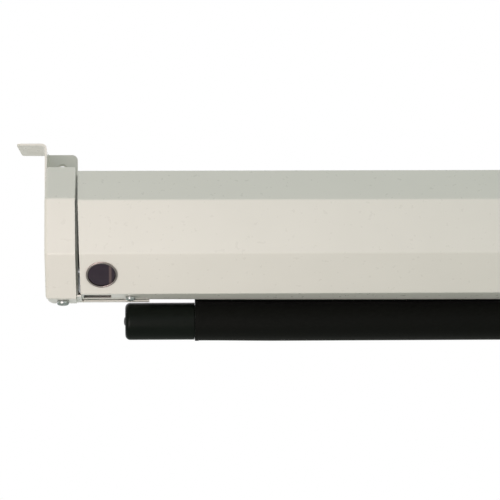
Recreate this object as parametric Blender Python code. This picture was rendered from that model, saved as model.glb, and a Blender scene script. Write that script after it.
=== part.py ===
"""A motorized projector screen: octagonal steel case, end brackets, roller drive, fabric and bar.

World frame: X along the screen, +Y towards the wall, +Z up. The origin is at mid-length, where the
wall plane meets the ceiling plane. Sections are drawn in two local distances: d runs back from the
case's front face, and h runs up from its underside. Near an end, u runs inward from the case's end.
"""
import math

import bmesh
import bpy
from mathutils import Matrix, Vector

MM = 0.001
LEFT = -1
RIGHT = 1

# Clearance between pieces that rest on or sit in each other
GAP = 0.3 * MM

# Screen
FABRIC_WIDTH = 1500 * MM
FABRIC_THICK = 0.3 * MM
END_ROOM = 81 * MM

# Case
CASE_SIZE = 86.5 * MM
CASE_FLAT = 37.3 * MM
CASE_WALL = 1.0 * MM
CASE_FOLD_R = 2.0 * MM
LIP_END_BACK = 8.5 * MM
LIP_HEM = 6 * MM
REAR_RETURN = 6.5 * MM

# Access hole to the limit adjusters
ACCESS_U = 3.4 * MM
ACCESS_LENGTH = 19 * MM
ACCESS_FORWARD = 4.5 * MM
ACCESS_DEPTH = 10.5 * MM

# End brackets
BRACKET_BELOW = 3.0 * MM
BRACKET_ABOVE = 3.3 * MM
BRACKET_FRONT = 1.2 * MM
BRACKET_REAR = 3.0 * MM
BRACKET_FLAT_BELOW = 0.4 * MM
BRACKET_FLAT_ABOVE = 0.9 * MM
BRACKET_SHEET = 1.4 * MM
SHEET_STEP = 0.05 * MM
BRACKET_WIDTH = 21.2 * MM
BRACKET_GAP = 1.6 * MM
BRACKET_BEND_R = 2.8 * MM
BRACKET_FOLD_R = 2.4 * MM
BRACKET_LIP_BACK = 0.5 * MM
SIDE_PLATE_SLOPE = 0.176
HEAD_ROOM = 22.6 * MM
TAB_LENGTH = 20.9 * MM
TAB_TAPER = 2.4 * MM
TAB_FRONT_D = 42.8 * MM
TAB_DEPTH = 41 * MM
TAB_BEND_R = 3.6 * MM
TAB_CORNER_R = 3.0 * MM
WALL_HOLE_DIA = 6.2 * MM
COUNTERSINK_DIA = 8.6 * MM
COUNTERSINK_DEPTH = 1.1 * MM
WALL_HOLE_DROP = 11 * MM
WALL_HOLE_SHIFT = 1.4 * MM
LOWER_HOLE_H = 40 * MM
PLATE_CORNER_R = 4.0 * MM
GUSSET_DROP = 9.5 * MM
GUSSET_HEIGHT = 13 * MM
GUSSET_REACH = 5.5 * MM
GUSSET_SHAPE = ((0.3, 0.0), (1.0, 0.45), (0.06, 1.0))

# End plates of the case
PLATE_THICK = 1.6 * MM
PLATE_SHEET = 1.0 * MM
PLATE_INSET = 3.5 * MM
FOOT_FRONT_MARGIN = 0.9 * MM
FOOT_FOLD_MARGIN = 1.9 * MM
FOOT_STRIP = 3.2 * MM
FOOT_LENGTH = 49 * MM
TONGUE_CLEAR = 4.2 * MM
TONGUE_MARGIN = 2.4 * MM
TONGUE_DEPTH = 19 * MM
RELIEF_DIA = 2.4 * MM
TOP_FLANGE_LENGTH = 14 * MM
TOP_FLANGE_DEPTH = 16 * MM

# Inner clips
CLIP_SHEET = 1.2 * MM
CLIP_LENGTH = 46 * MM
CLIP_RISER = 12 * MM
CLIP_WINDOW_MARGIN = 1.5 * MM

# Screws: shank diameter, head diameter, head height, length under the head
BRACKET_SCREW = (4.0 * MM, 8.6 * MM, 3.0 * MM, 6.0 * MM)
LIP_SCREW = (3.5 * MM, 7.0 * MM, 2.8 * MM, 5.0 * MM)
TOP_SCREW = (3.5 * MM, 7.0 * MM, 2.0 * MM, 5.0 * MM)
LID_SCREW = (2.5 * MM, 5.0 * MM, 1.6 * MM, 4.0 * MM)
SCREW_SIDE = 0.45
SCREW_CROWN_STEPS = 2
RECESS_ARM = 0.52
RECESS_HALF_WIDTH = 0.16
RECESS_FLOOR = 0.35
BRACKET_SCREW_SHIFT = 0.8 * MM
LIP_SCREW_U = 35.8 * MM
LIP_SCREW_MARGIN = 12.4 * MM
TOP_SCREW_U = 8 * MM

# Roller and fabric roll
ROLLER_FORWARD = 5.1 * MM
ROLLER_RAISED = 0.75 * MM
ROLLER_WALL = 1.2 * MM
ROLLER_END_U = 33.3 * MM
ROLL_BUILD = 2.6 * MM

# Motor
MOTOR_DIA = 45 * MM
MOTOR_WALL = 3.0 * MM
MOTOR_LENGTH = 430 * MM
MOTOR_HEAD_EXTRA = 7 * MM
MOTOR_HEAD_LENGTH = 29 * MM
MOTOR_STUD_DIA = 12 * MM
MOTOR_STUD_LENGTH = 5 * MM
HEAD_BEVEL = 2.5 * MM
END_BEVEL = 1.0 * MM
RING_GROOVE = 1.0 * MM
SHAFT_DIA = 10 * MM
SHAFT_LENGTH = 40 * MM
DRIVE_WHEEL_WIDTH = 12 * MM
DRIVE_WHEEL_OFFSET = 4 * MM
WHEEL_RIM = 3.0 * MM
WHEEL_HUB = 4.0 * MM
CROWN_WALL = 0.7 * MM
CROWN_FLANGE = 2.4 * MM
CROWN_LENGTH = 13 * MM
COLLAR_LIP = 1.3 * MM
ADJUSTER_DIA = 5.0 * MM
ADJUSTER_LENGTH = 7.0 * MM
ADJUSTER_PROUD = 0.9 * MM
ADJUSTER_BEVEL = 0.4 * MM
ADJUSTER_U = (8.5 * MM, 17.5 * MM)
HEX_KEY = 2.5 * MM

# Idler
AXLE_DIA = 12 * MM
AXLE_LENGTH = 68 * MM
PLUG_LENGTH = 36 * MM
BUSH_WALL = 1.8 * MM
BUSH_FLANGE_DIA = 23 * MM
BUSH_FLANGE = 2.2 * MM
CLIP_RING = 0.8 * MM
CLIP_RING_REACH = 3.0 * MM

# Infrared window and receiver
WINDOW_U = 16.1 * MM
WINDOW_DROP = 0.25 * MM
WINDOW_RIM_DIA = 21.7 * MM
WINDOW_RIM_PROUD = 0.8 * MM
WINDOW_RIM_BEVEL = 0.5 * MM
WINDOW_RIM_LAP = 0.7 * MM
WINDOW_BARREL_LENGTH = 7.5 * MM
BEZEL_WALL = 0.5 * MM
LENS_THICK = 2.0 * MM
LENS_CROWN = 0.5 * MM
LENS_SEAT = 1.2 * MM
NUT_RING = 2.5 * MM
NUT_THICK = 2.6 * MM
NUT_NOTCH = 2.8 * MM
BOARD_SIZE = 22 * MM
BOARD_THICK = 1.6 * MM
SENSOR_SIZE = 6 * MM
SENSOR_DEPTH = 5 * MM

# Control box and mains grommet
BOX_U = 4 * MM
BOX_LENGTH = 70 * MM
BOX_MARGIN_LOW = 2.9 * MM
BOX_MARGIN_HIGH = 2.4 * MM
BOX_WALL = 2.0 * MM
BOX_CLEAR = 1.1 * MM
BOSS_SIZE = 6.4 * MM
BOSS_DEPTH = 6 * MM
GROMMET_INSET = 7.2 * MM
GROMMET_SHIFT = 1.0 * MM
GROMMET_DIA = 11 * MM
GROMMET_BORE = 6.5 * MM
GROMMET_FLANGE = 1.6 * MM
GROMMET_LIP = 1.8 * MM

# Bottom bar
BAR_DIA = 25.4 * MM
BAR_WALL = 1.2 * MM
BAR_TOP_DROP = 0.3 * MM
HEM_SLACK = 0.7 * MM
CAP_EXTRA = 0.8 * MM
CAP_ROUND = 3.6 * MM
CAP_START_U = 31.9 * MM
CAP_SPIGOT = 28 * MM
CAP_WALL = 2.2 * MM
PIP_DIA = 6.0 * MM
PIP_PROUD = 0.9 * MM

# Faceting
FINE = 32
MEDIUM = 24
COARSE = 12
ARC_STEPS = 4

# How far a cutter runs past the sheet that it pierces
CUT_REACH = 5 * MM

# What follows from the sizes above
CASE_LENGTH = FABRIC_WIDTH + 2 * END_ROOM
CHAMFER = (CASE_SIZE - CASE_FLAT) / 2
FOOT_FRONT_D = CHAMFER + FOOT_FRONT_MARGIN
FOOT_FOLD_D = CASE_SIZE - CHAMFER - FOOT_FOLD_MARGIN
LIP_END_D = FOOT_FOLD_D - LIP_END_BACK
LIP_SCREW_D = CHAMFER + LIP_SCREW_MARGIN
WALL_D = CASE_SIZE + BRACKET_REAR
CEILING_H = CASE_SIZE + HEAD_ROOM
BRACKET_EDGE_U = -BRACKET_GAP
BRACKET_OUTER_U = -BRACKET_GAP - BRACKET_WIDTH
BRACKET_LIP_D = LIP_END_D - BRACKET_LIP_BACK
BRACKET_SCREW_U = (BRACKET_EDGE_U + BRACKET_OUTER_U) / 2 + BRACKET_SCREW_SHIFT
TONGUE_LENGTH = BRACKET_WIDTH - TONGUE_CLEAR
TONGUE_FRONT_D = CHAMFER + TONGUE_MARGIN
PLATE_INNER_U = -GAP
PLATE_OUTER_U = -GAP - PLATE_THICK
FOOT_OUTER_U = -GAP - PLATE_SHEET
FOOT_LOW_H = -GAP - PLATE_SHEET
CROWN_BORE_R = MOTOR_DIA / 2 + GAP
ROLLER_DIA = 2 * (CROWN_BORE_R + CROWN_WALL + GAP + ROLLER_WALL)
COLLAR_DIA = ROLLER_DIA + 2 * COLLAR_LIP
MOTOR_HEAD_DIA = MOTOR_DIA + MOTOR_HEAD_EXTRA
ROLLER_D = CASE_SIZE / 2 - ROLLER_FORWARD
ROLLER_H = CASE_SIZE / 2 + ROLLER_RAISED
ROLL_INNER_R = ROLLER_DIA / 2 + GAP
ROLL_OUTER_R = ROLL_INNER_R + ROLL_BUILD
FABRIC_D = ROLLER_D + ROLL_OUTER_R + GAP + FABRIC_THICK / 2
HEM_INNER_R = BAR_DIA / 2 + HEM_SLACK
HEM_OUTER_R = HEM_INNER_R + FABRIC_THICK
BAR_H = -BAR_TOP_DROP - HEM_OUTER_R
TUBE_BORE_R = ROLLER_DIA / 2 - ROLLER_WALL
INSERT_R = TUBE_BORE_R - GAP
MOTOR_TUBE_U = MOTOR_HEAD_LENGTH + GAP
MOTOR_TUBE_END_U = MOTOR_TUBE_U + MOTOR_LENGTH
ACCESS_D = ROLLER_D - ACCESS_FORWARD
DIAGONAL = math.sqrt(0.5)
WINDOW_D = CHAMFER / 2 + WINDOW_DROP * DIAGONAL
WINDOW_H = CHAMFER / 2 - WINDOW_DROP * DIAGONAL
WINDOW_BARREL_DIA = WINDOW_RIM_DIA - 2 * WINDOW_RIM_LAP
LENS_DIA = WINDOW_BARREL_DIA - 2 * (BEZEL_WALL + GAP)
NUT_DIA = WINDOW_BARREL_DIA + 2 * (GAP + NUT_RING)
BOX_LOW_H = CHAMFER + BOX_MARGIN_LOW
BOX_HIGH_H = CASE_SIZE - CHAMFER - BOX_MARGIN_HIGH
GROMMET_D = CASE_SIZE - CHAMFER / 2 - GROMMET_INSET - GROMMET_SHIFT
GROMMET_H = CASE_SIZE - CHAMFER / 2 - GROMMET_INSET + GROMMET_SHIFT
CAP_DIA = BAR_DIA + CAP_EXTRA

PAINT = {
    "powder_coat": ((0.82, 0.81, 0.76), 0.55, 0.0),
    "zinc": ((0.72, 0.73, 0.74), 0.30, 1.0),
    "bright_steel": ((0.60, 0.61, 0.62), 0.35, 1.0),
    "aluminium": ((0.70, 0.70, 0.71), 0.40, 1.0),
    "black_plastic": ((0.015, 0.016, 0.015), 0.35, 0.0),
    "grey_plastic": ((0.30, 0.31, 0.32), 0.50, 0.0),
    "white_plastic": ((0.80, 0.80, 0.78), 0.45, 0.0),
    "red_plastic": ((0.60, 0.05, 0.04), 0.45, 0.0),
    "rim_metal": ((0.62, 0.61, 0.58), 0.30, 1.0),
    "ir_lens": ((0.05, 0.015, 0.03), 0.08, 0.0),
    "circuit_board": ((0.03, 0.18, 0.07), 0.50, 0.0),
    "black_fabric": ((0.012, 0.013, 0.012), 0.75, 0.0),
    "rubber": ((0.03, 0.03, 0.03), 0.70, 0.0),
}


# Frame and materials

def case_point(x, d, h):
    """World point of a place in the case's section."""
    return Vector((x, d - WALL_D, h - CEILING_H))


def end_x(side, u):
    """World x at a distance u inward from the case's left or right end."""
    return side * (CASE_LENGTH / 2 - u)


def material(slot):
    """One Principled material for each finish."""
    found = bpy.data.materials.get(slot)
    if found:
        return found
    colour, roughness, metallic = PAINT[slot]
    made = bpy.data.materials.new(slot)
    made.use_nodes = True
    shader = made.node_tree.nodes["Principled BSDF"]
    shader.inputs["Base Color"].default_value = (*colour, 1.0)
    shader.inputs["Roughness"].default_value = roughness
    shader.inputs["Metallic"].default_value = metallic
    made.diffuse_color = (*colour, 1.0)
    return made


def finish_piece(name, mesh, slot, pivot=None, parent=None):
    """Wrap a world-space mesh in a named object whose origin is its pivot."""
    mesh.name = name
    mesh.materials.clear()
    mesh.materials.append(material(slot))
    mesh.shade_smooth()
    mesh.set_sharp_from_angle(angle=math.radians(35))
    piece = bpy.data.objects.new(name, mesh)
    bpy.context.scene.collection.objects.link(piece)
    if pivot is not None:
        mesh.transform(Matrix.Translation(-pivot))
        piece.location = pivot
    if parent is not None:
        piece.parent = parent
        piece.location = piece.location - parent.location
    return piece


# Drawing in two dimensions

def rounded(points, radius, closed=False, steps=ARC_STEPS):
    """Replace the corners of a path by arcs."""
    count = len(points)
    result = []
    for index, corner in enumerate(points):
        if not closed and index in (0, count - 1):
            result.append(Vector(corner))
            continue
        here = Vector(corner)
        to_last = (Vector(points[index - 1]) - here).normalized()
        to_next = (Vector(points[(index + 1) % count]) - here).normalized()
        half_angle = to_last.angle(to_next) / 2
        if half_angle > math.radians(89):
            result.append(here)
            continue
        reach = radius / math.tan(half_angle)
        centre = here + (to_last + to_next).normalized() * radius / math.sin(half_angle)
        start = here + to_last * reach - centre
        sweep = math.pi - 2 * half_angle
        turn = math.copysign(sweep, to_next.x * to_last.y - to_next.y * to_last.x)
        for step in range(steps + 1):
            angle = turn * step / steps
            arm = Matrix.Rotation(angle, 2) @ start
            result.append(centre + arm)
    return result


def offset_path(path, distance):
    """Shift an open path sideways, with mitred corners."""
    result = []
    last = len(path) - 1
    for index, point in enumerate(path):
        before = path[max(index - 1, 0)]
        after = path[min(index + 1, last)]
        along_in = (point - before) if index > 0 else (after - point)
        along_out = (after - point) if index < last else (point - before)
        normal_in = Vector((-along_in.y, along_in.x)).normalized()
        normal_out = Vector((-along_out.y, along_out.x)).normalized()
        mitre = (normal_in + normal_out).normalized()
        result.append(point + mitre * distance / mitre.dot(normal_in))
    return result


def sheet_outline(points, radius, thickness):
    """Closed outline of a folded sheet; the thickness lies to the left of the path."""
    path = rounded(points, radius)
    return path + offset_path(path, thickness)[::-1]


def box_outline(a_low, b_low, a_high, b_high):
    """Four corners of a rectangle."""
    return [Vector((a_low, b_low)), Vector((a_high, b_low)),
            Vector((a_high, b_high)), Vector((a_low, b_high))]


def circle_outline(centre, radius, count):
    """Points round a circle."""
    turn = 2 * math.pi / count
    return [Vector(centre) + Vector((math.cos(turn * i), math.sin(turn * i))) * radius
            for i in range(count)]


def eight_sided(front, rear, low, high, flat_low, flat_high):
    """Outline with four flats and 45 degree corners; starts at the lower front corner."""
    below = flat_low - low
    above = high - flat_high
    return [Vector(p) for p in ((front + below, low), (front, flat_low), (front, flat_high),
                                (front + above, high), (rear - above, high), (rear, flat_high),
                                (rear, flat_low), (rear - below, low))]


def case_outline():
    """Outer outline of the case."""
    return eight_sided(0, CASE_SIZE, 0, CASE_SIZE, CHAMFER, CASE_SIZE - CHAMFER)


def bracket_outline():
    """Outer outline of an end bracket's wrap."""
    return eight_sided(-BRACKET_FRONT, WALL_D, -BRACKET_BELOW, CASE_SIZE + BRACKET_ABOVE,
                       CHAMFER - BRACKET_FLAT_BELOW, CASE_SIZE - CHAMFER + BRACKET_FLAT_ABOVE)


def inset(outline, distance):
    """Shrink a closed outline by the same distance on every side."""
    result = []
    count = len(outline)
    for i, corner in enumerate(outline):
        along_in = (corner - outline[i - 1]).normalized()
        along_out = (outline[(i + 1) % count] - corner).normalized()
        normal = Vector((along_in.y, -along_in.x))
        mitre = (normal + Vector((along_out.y, -along_out.x))).normalized()
        result.append(corner + mitre * distance / mitre.dot(normal))
    return result


# Solids

def loft(rings):
    """Closed mesh through rings of equal point counts, with its first and last ring filled."""
    bm = bmesh.new()
    loops = [[bm.verts.new(point) for point in ring] for ring in rings]
    for first, second in zip(loops, loops[1:]):
        for i in range(len(first)):
            j = (i + 1) % len(first)
            bm.faces.new((first[i], first[j], second[j], second[i]))
    bm.faces.new(loops[0])
    bm.faces.new(loops[-1])
    return closed_mesh(bm)


def closed_mesh(bm):
    """Turn the faces outward and make a mesh."""
    bmesh.ops.recalc_face_normals(bm, faces=bm.faces)
    mesh = bpy.data.meshes.new("solid")
    bm.to_mesh(mesh)
    bm.free()
    return mesh


def prism_x(outline, x_low, x_high):
    """Extrude a (d, h) outline along X."""
    return loft([[case_point(x, p.x, p.y) for p in outline] for x in (x_low, x_high)])


def prism_h(outline, h_low, h_high):
    """Extrude an (x, d) outline upward."""
    return loft([[case_point(p.x, p.y, h) for p in outline] for h in (h_low, h_high)])


def prism_d(outline, d_low, d_high):
    """Extrude an (x, h) outline backward."""
    return loft([[case_point(p.x, d, p.y) for p in outline] for d in (d_low, d_high)])


def block(x_a, x_b, d_low, d_high, h_low, h_high):
    """Plain block in the case's section frame."""
    return prism_x(box_outline(d_low, h_low, d_high, h_high), min(x_a, x_b), max(x_a, x_b))


def lathe(profile, centre, axis, count):
    """Spin a closed (distance along the axis, radius) profile round an axis through centre."""
    bm = bmesh.new()
    verts = [bm.verts.new((along, radius, 0)) for along, radius in profile]
    edges = [bm.edges.new((verts[i - 1], verts[i])) for i in range(len(verts))]
    bmesh.ops.spin(bm, geom=verts + edges, cent=(0, 0, 0), axis=(1, 0, 0), dvec=(0, 0, 0),
                   angle=2 * math.pi, steps=count, use_merge=True)
    bmesh.ops.remove_doubles(bm, verts=bm.verts, dist=1e-7)
    bmesh.ops.dissolve_degenerate(bm, edges=bm.edges, dist=1e-7)
    loose = [edge for edge in bm.edges if not edge.link_faces]
    bmesh.ops.delete(bm, geom=loose, context="EDGES")
    turn = Vector((1, 0, 0)).rotation_difference(Vector(axis)).to_matrix().to_4x4()
    bmesh.ops.transform(bm, matrix=Matrix.Translation(centre) @ turn, verts=bm.verts)
    return closed_mesh(bm)


def ring_profile(low, high, inner_radius, outer_radius):
    """Section of a plain ring or disc."""
    return [(low, inner_radius), (high, inner_radius), (high, outer_radius), (low, outer_radius)]


def combine(mesh, tools, operation="DIFFERENCE"):
    """Apply a Boolean with each tool in turn and give the resulting mesh."""
    body = bpy.data.objects.new("body", mesh)
    bpy.context.scene.collection.objects.link(body)
    helpers = []
    for tool in tools:
        helper = bpy.data.objects.new("cutter", tool)
        helper.hide_render = True
        helper.display_type = "WIRE"
        bpy.context.scene.collection.objects.link(helper)
        cut = body.modifiers.new("combine", "BOOLEAN")
        cut.operation = operation
        cut.object = helper
        helpers.append(helper)
    bpy.context.view_layer.update()
    evaluated = body.evaluated_get(bpy.context.evaluated_depsgraph_get())
    result = bpy.data.meshes.new_from_object(evaluated)
    bpy.data.objects.remove(body)
    for helper in helpers:
        bpy.data.objects.remove(helper)
    return clean_mesh(result)


def clean_mesh(mesh):
    """Merge doubled points and flatten the leftovers of a Boolean."""
    bm = bmesh.new()
    bm.from_mesh(mesh)
    bmesh.ops.remove_doubles(bm, verts=bm.verts, dist=2e-6)
    bmesh.ops.dissolve_degenerate(bm, edges=bm.edges, dist=2e-6)
    bmesh.ops.dissolve_limit(bm, angle_limit=math.radians(0.5), verts=bm.verts, edges=bm.edges)
    bmesh.ops.triangulate(bm, faces=[face for face in bm.faces if len(face.verts) > 4])
    bm.to_mesh(mesh)
    bm.free()
    return mesh


def mirrored(mesh):
    """Copy of a mesh for the other end of the screen."""
    copy = mesh.copy()
    copy.transform(Matrix.Scale(-1, 4, Vector((1, 0, 0))))
    copy.flip_normals()
    return copy


def corner_cutter(corner, first_edge, second_edge, radius):
    """Outline that rounds off a sheet's corner; both edge directions point away from the corner."""
    corner = Vector(corner)
    first = Vector(first_edge).normalized()
    second = Vector(second_edge).normalized()
    reach = radius / math.tan(first.angle(second) / 2)
    extra = radius / 4
    ends = [corner + first * 2 * reach, corner, corner + second * 2 * reach]
    arc = rounded(ends, radius, steps=2 * ARC_STEPS)[1:-1]
    return ([corner - (first + second) * extra, corner + first * reach - second * extra] + arc
            + [corner + second * reach - first * extra])


# Case

def make_case():
    """Rolled sheet shell with hemmed edges, open at its lower rear."""
    x_half = CASE_LENGTH / 2
    corners = case_outline()
    path = [(LIP_END_D, LIP_HEM), (LIP_END_D, 0)] + corners[:7]
    path.append((CASE_SIZE - REAR_RETURN, corners[6].y))
    shell = prism_x(sheet_outline(path[::-1], CASE_FOLD_R, CASE_WALL), -x_half, x_half)
    cutters = [block(end_x(LEFT, ACCESS_U), end_x(LEFT, ACCESS_U + ACCESS_LENGTH),
                     ACCESS_D, ACCESS_D + ACCESS_DEPTH, -2 * CASE_WALL, 2 * CASE_WALL)]
    cutters.append(window_disc(-3 * CASE_WALL, 3 * CASE_WALL, WINDOW_BARREL_DIA / 2 + GAP))
    for side in (LEFT, RIGHT):
        cutters.append(screw_hole(side, LIP_SCREW_U, LIP_SCREW_D, 0, LIP_SCREW))
        cutters.append(screw_hole(side, TOP_SCREW_U, CASE_SIZE / 2, CASE_SIZE, TOP_SCREW))
    finish_piece("case_shell", combine(shell, cutters), "powder_coat")


def screw_hole(side, u, d, h, screw):
    """Upright cutter for a screw's clearance hole through sheets near height h."""
    radius = screw[0] / 2 + GAP
    centre = (end_x(side, u), d)
    return prism_h(circle_outline(centre, radius, COARSE), h - CUT_REACH, h + CUT_REACH)


# End brackets

def bracket_tray():
    """Side plate with its front wrap, bent from one sheet."""
    def ring(u, depth):
        fold_r = max(BRACKET_FOLD_R - depth, GAP)
        outline = rounded(inset(bracket_outline(), depth), fold_r, closed=True, steps=2)
        return [case_point(end_x(LEFT, u), p.x, p.y) for p in outline]

    def bend(radius):
        arc = []
        for step in range(ARC_STEPS + 1):
            angle = math.pi / 2 * step / ARC_STEPS
            u = BRACKET_OUTER_U + BRACKET_BEND_R - radius * math.cos(angle)
            arc.append(ring(u, BRACKET_BEND_R - radius * math.sin(angle)))
        return arc

    outer = bend(BRACKET_BEND_R)
    inner = bend(BRACKET_BEND_R - BRACKET_SHEET)
    edge = [ring(BRACKET_EDGE_U, 0), ring(BRACKET_EDGE_U, BRACKET_SHEET)]
    return loft(outer + edge + inner[::-1])


def bracket_trims():
    """Cutters that open the wrap on top and at the rear, and slope the side plate's lower rear edge."""
    inner_x = end_x(LEFT, BRACKET_OUTER_U + BRACKET_SHEET)
    beyond_x = end_x(LEFT, BRACKET_EDGE_U + BRACKET_GAP)
    corners = bracket_outline()
    top_d = corners[3].x - BRACKET_FOLD_R / 4
    beyond_d = WALL_D + BRACKET_SHEET
    below_h = -2 * BRACKET_BELOW
    rise = SIDE_PLATE_SLOPE * (beyond_d - BRACKET_LIP_D)
    slope = [Vector((BRACKET_LIP_D, -BRACKET_BELOW)), Vector((BRACKET_LIP_D, below_h)),
             Vector((beyond_d, below_h)), Vector((beyond_d, rise - BRACKET_BELOW))]
    return [
        prism_x(slope, end_x(LEFT, BRACKET_OUTER_U - BRACKET_SHEET), inner_x + BRACKET_SHEET),
        block(inner_x, beyond_x, top_d, beyond_d, corners[5].y, 2 * CASE_SIZE),
        block(inner_x, beyond_x, BRACKET_LIP_D, beyond_d, -CASE_SIZE, corners[6].y),
    ]


def bracket_ear():
    """Riser and wall plate above the wrap: an angle in plan, with the tab's relief cut out."""
    outer_x = end_x(LEFT, BRACKET_OUTER_U + SHEET_STEP)
    edge_x = end_x(LEFT, BRACKET_EDGE_U)
    rear_d = WALL_D - SHEET_STEP
    path = [(edge_x, rear_d), (outer_x, rear_d), (outer_x, TAB_FRONT_D)]
    outline = sheet_outline(path, BRACKET_BEND_R, BRACKET_SHEET * -LEFT)
    low_h = CASE_SIZE / 2
    ear = prism_h(outline, low_h, CEILING_H)
    away = 4 * BRACKET_SHEET
    relief = block(outer_x + LEFT * away, outer_x - LEFT * away, TAB_FRONT_D - away,
                   TAB_FRONT_D + TAB_DEPTH + PLATE_SHEET, CEILING_H - TAB_BEND_R, CEILING_H + away)
    round_off = prism_d(corner_cutter((edge_x, CEILING_H), (LEFT, 0), (0, -1), PLATE_CORNER_R),
                        WALL_D - 2 * BRACKET_SHEET, WALL_D + BRACKET_SHEET)
    return combine(ear, [relief, round_off])


def bracket_tab():
    """Ceiling tab, bent outward from the riser, narrowing to the rear, with rounded corners."""
    inner_x = end_x(LEFT, BRACKET_OUTER_U + BRACKET_SHEET + 2 * SHEET_STEP)
    front_tip = Vector((end_x(LEFT, BRACKET_OUTER_U - TAB_LENGTH), TAB_FRONT_D))
    rear_tip = Vector((end_x(LEFT, BRACKET_OUTER_U - TAB_LENGTH + TAB_TAPER), TAB_FRONT_D + TAB_DEPTH))
    rings = []
    for tip in (front_tip, rear_tip):
        path = [(inner_x, CASE_SIZE), (inner_x, CEILING_H), (tip.x, CEILING_H)]
        outline = sheet_outline(path, TAB_BEND_R, BRACKET_SHEET * -LEFT)
        rings.append([case_point(p.x, tip.y, p.y) for p in outline])
    tab = loft(rings)
    low_h = CEILING_H - 2 * BRACKET_SHEET
    high_h = CEILING_H + BRACKET_SHEET
    inward = (-LEFT, 0)
    free_edge = rear_tip - front_tip
    rounds = [prism_h(corner_cutter(front_tip, inward, free_edge, TAB_CORNER_R), low_h, high_h),
              prism_h(corner_cutter(rear_tip, inward, -free_edge, TAB_CORNER_R), low_h, high_h)]
    return combine(tab, rounds)


def bracket_gusset():
    """Pressed gusset in the corner between the riser and the wall plate."""
    corner_x = end_x(LEFT, BRACKET_OUTER_U + BRACKET_SHEET / 2)
    corner_d = WALL_D - BRACKET_SHEET / 2
    low_h = CEILING_H - GUSSET_DROP - GUSSET_HEIGHT
    reach = GUSSET_REACH + BRACKET_SHEET / 2
    base = [(0, 0), (reach, 0), (0, reach)]
    rings = []
    for share, rise in GUSSET_SHAPE:
        rings.append([case_point(corner_x - LEFT * a * share, corner_d - b * share,
                                 low_h + rise * GUSSET_HEIGHT)
                      for a, b in base])
    return loft(rings)


def wall_hole(centre):
    """Countersunk cutter through the wall plate; distances run forward from the wall."""
    bore_r = WALL_HOLE_DIA / 2
    head_r = COUNTERSINK_DIA / 2
    seat = BRACKET_SHEET - COUNTERSINK_DEPTH
    profile = [(-BRACKET_SHEET, 0), (2 * BRACKET_SHEET, 0), (2 * BRACKET_SHEET, head_r),
               (BRACKET_SHEET, head_r), (seat, bore_r), (-BRACKET_SHEET, bore_r)]
    return lathe(profile, centre, (0, -1, 0), MEDIUM)


def make_brackets():
    """End brackets: wrap, ear, ceiling tab and gusset as one folded sheet, then its holes."""
    tray = combine(bracket_tray(), bracket_trims())
    body = combine(tray, [bracket_ear(), bracket_tab(), bracket_gusset()], "UNION")
    hole_u = (BRACKET_OUTER_U + BRACKET_EDGE_U + BRACKET_SHEET) / 2 - WALL_HOLE_SHIFT
    holes = [screw_hole(LEFT, BRACKET_SCREW_U, tongue_middle_d(), -BRACKET_BELOW, BRACKET_SCREW)]
    for hole_h in (CEILING_H - WALL_HOLE_DROP, LOWER_HOLE_H):
        holes.append(wall_hole(case_point(end_x(LEFT, hole_u), WALL_D, hole_h)))
    left = combine(body, holes)
    right = mirrored(left)
    finish_piece("end_bracket_left", left, "powder_coat")
    finish_piece("end_bracket_right", right, "powder_coat")


# End plates and inner clips

def tongue_middle_d():
    """Depth of the bracket screw, in the middle of the tongue."""
    return TONGUE_FRONT_D + TONGUE_DEPTH / 2


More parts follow.
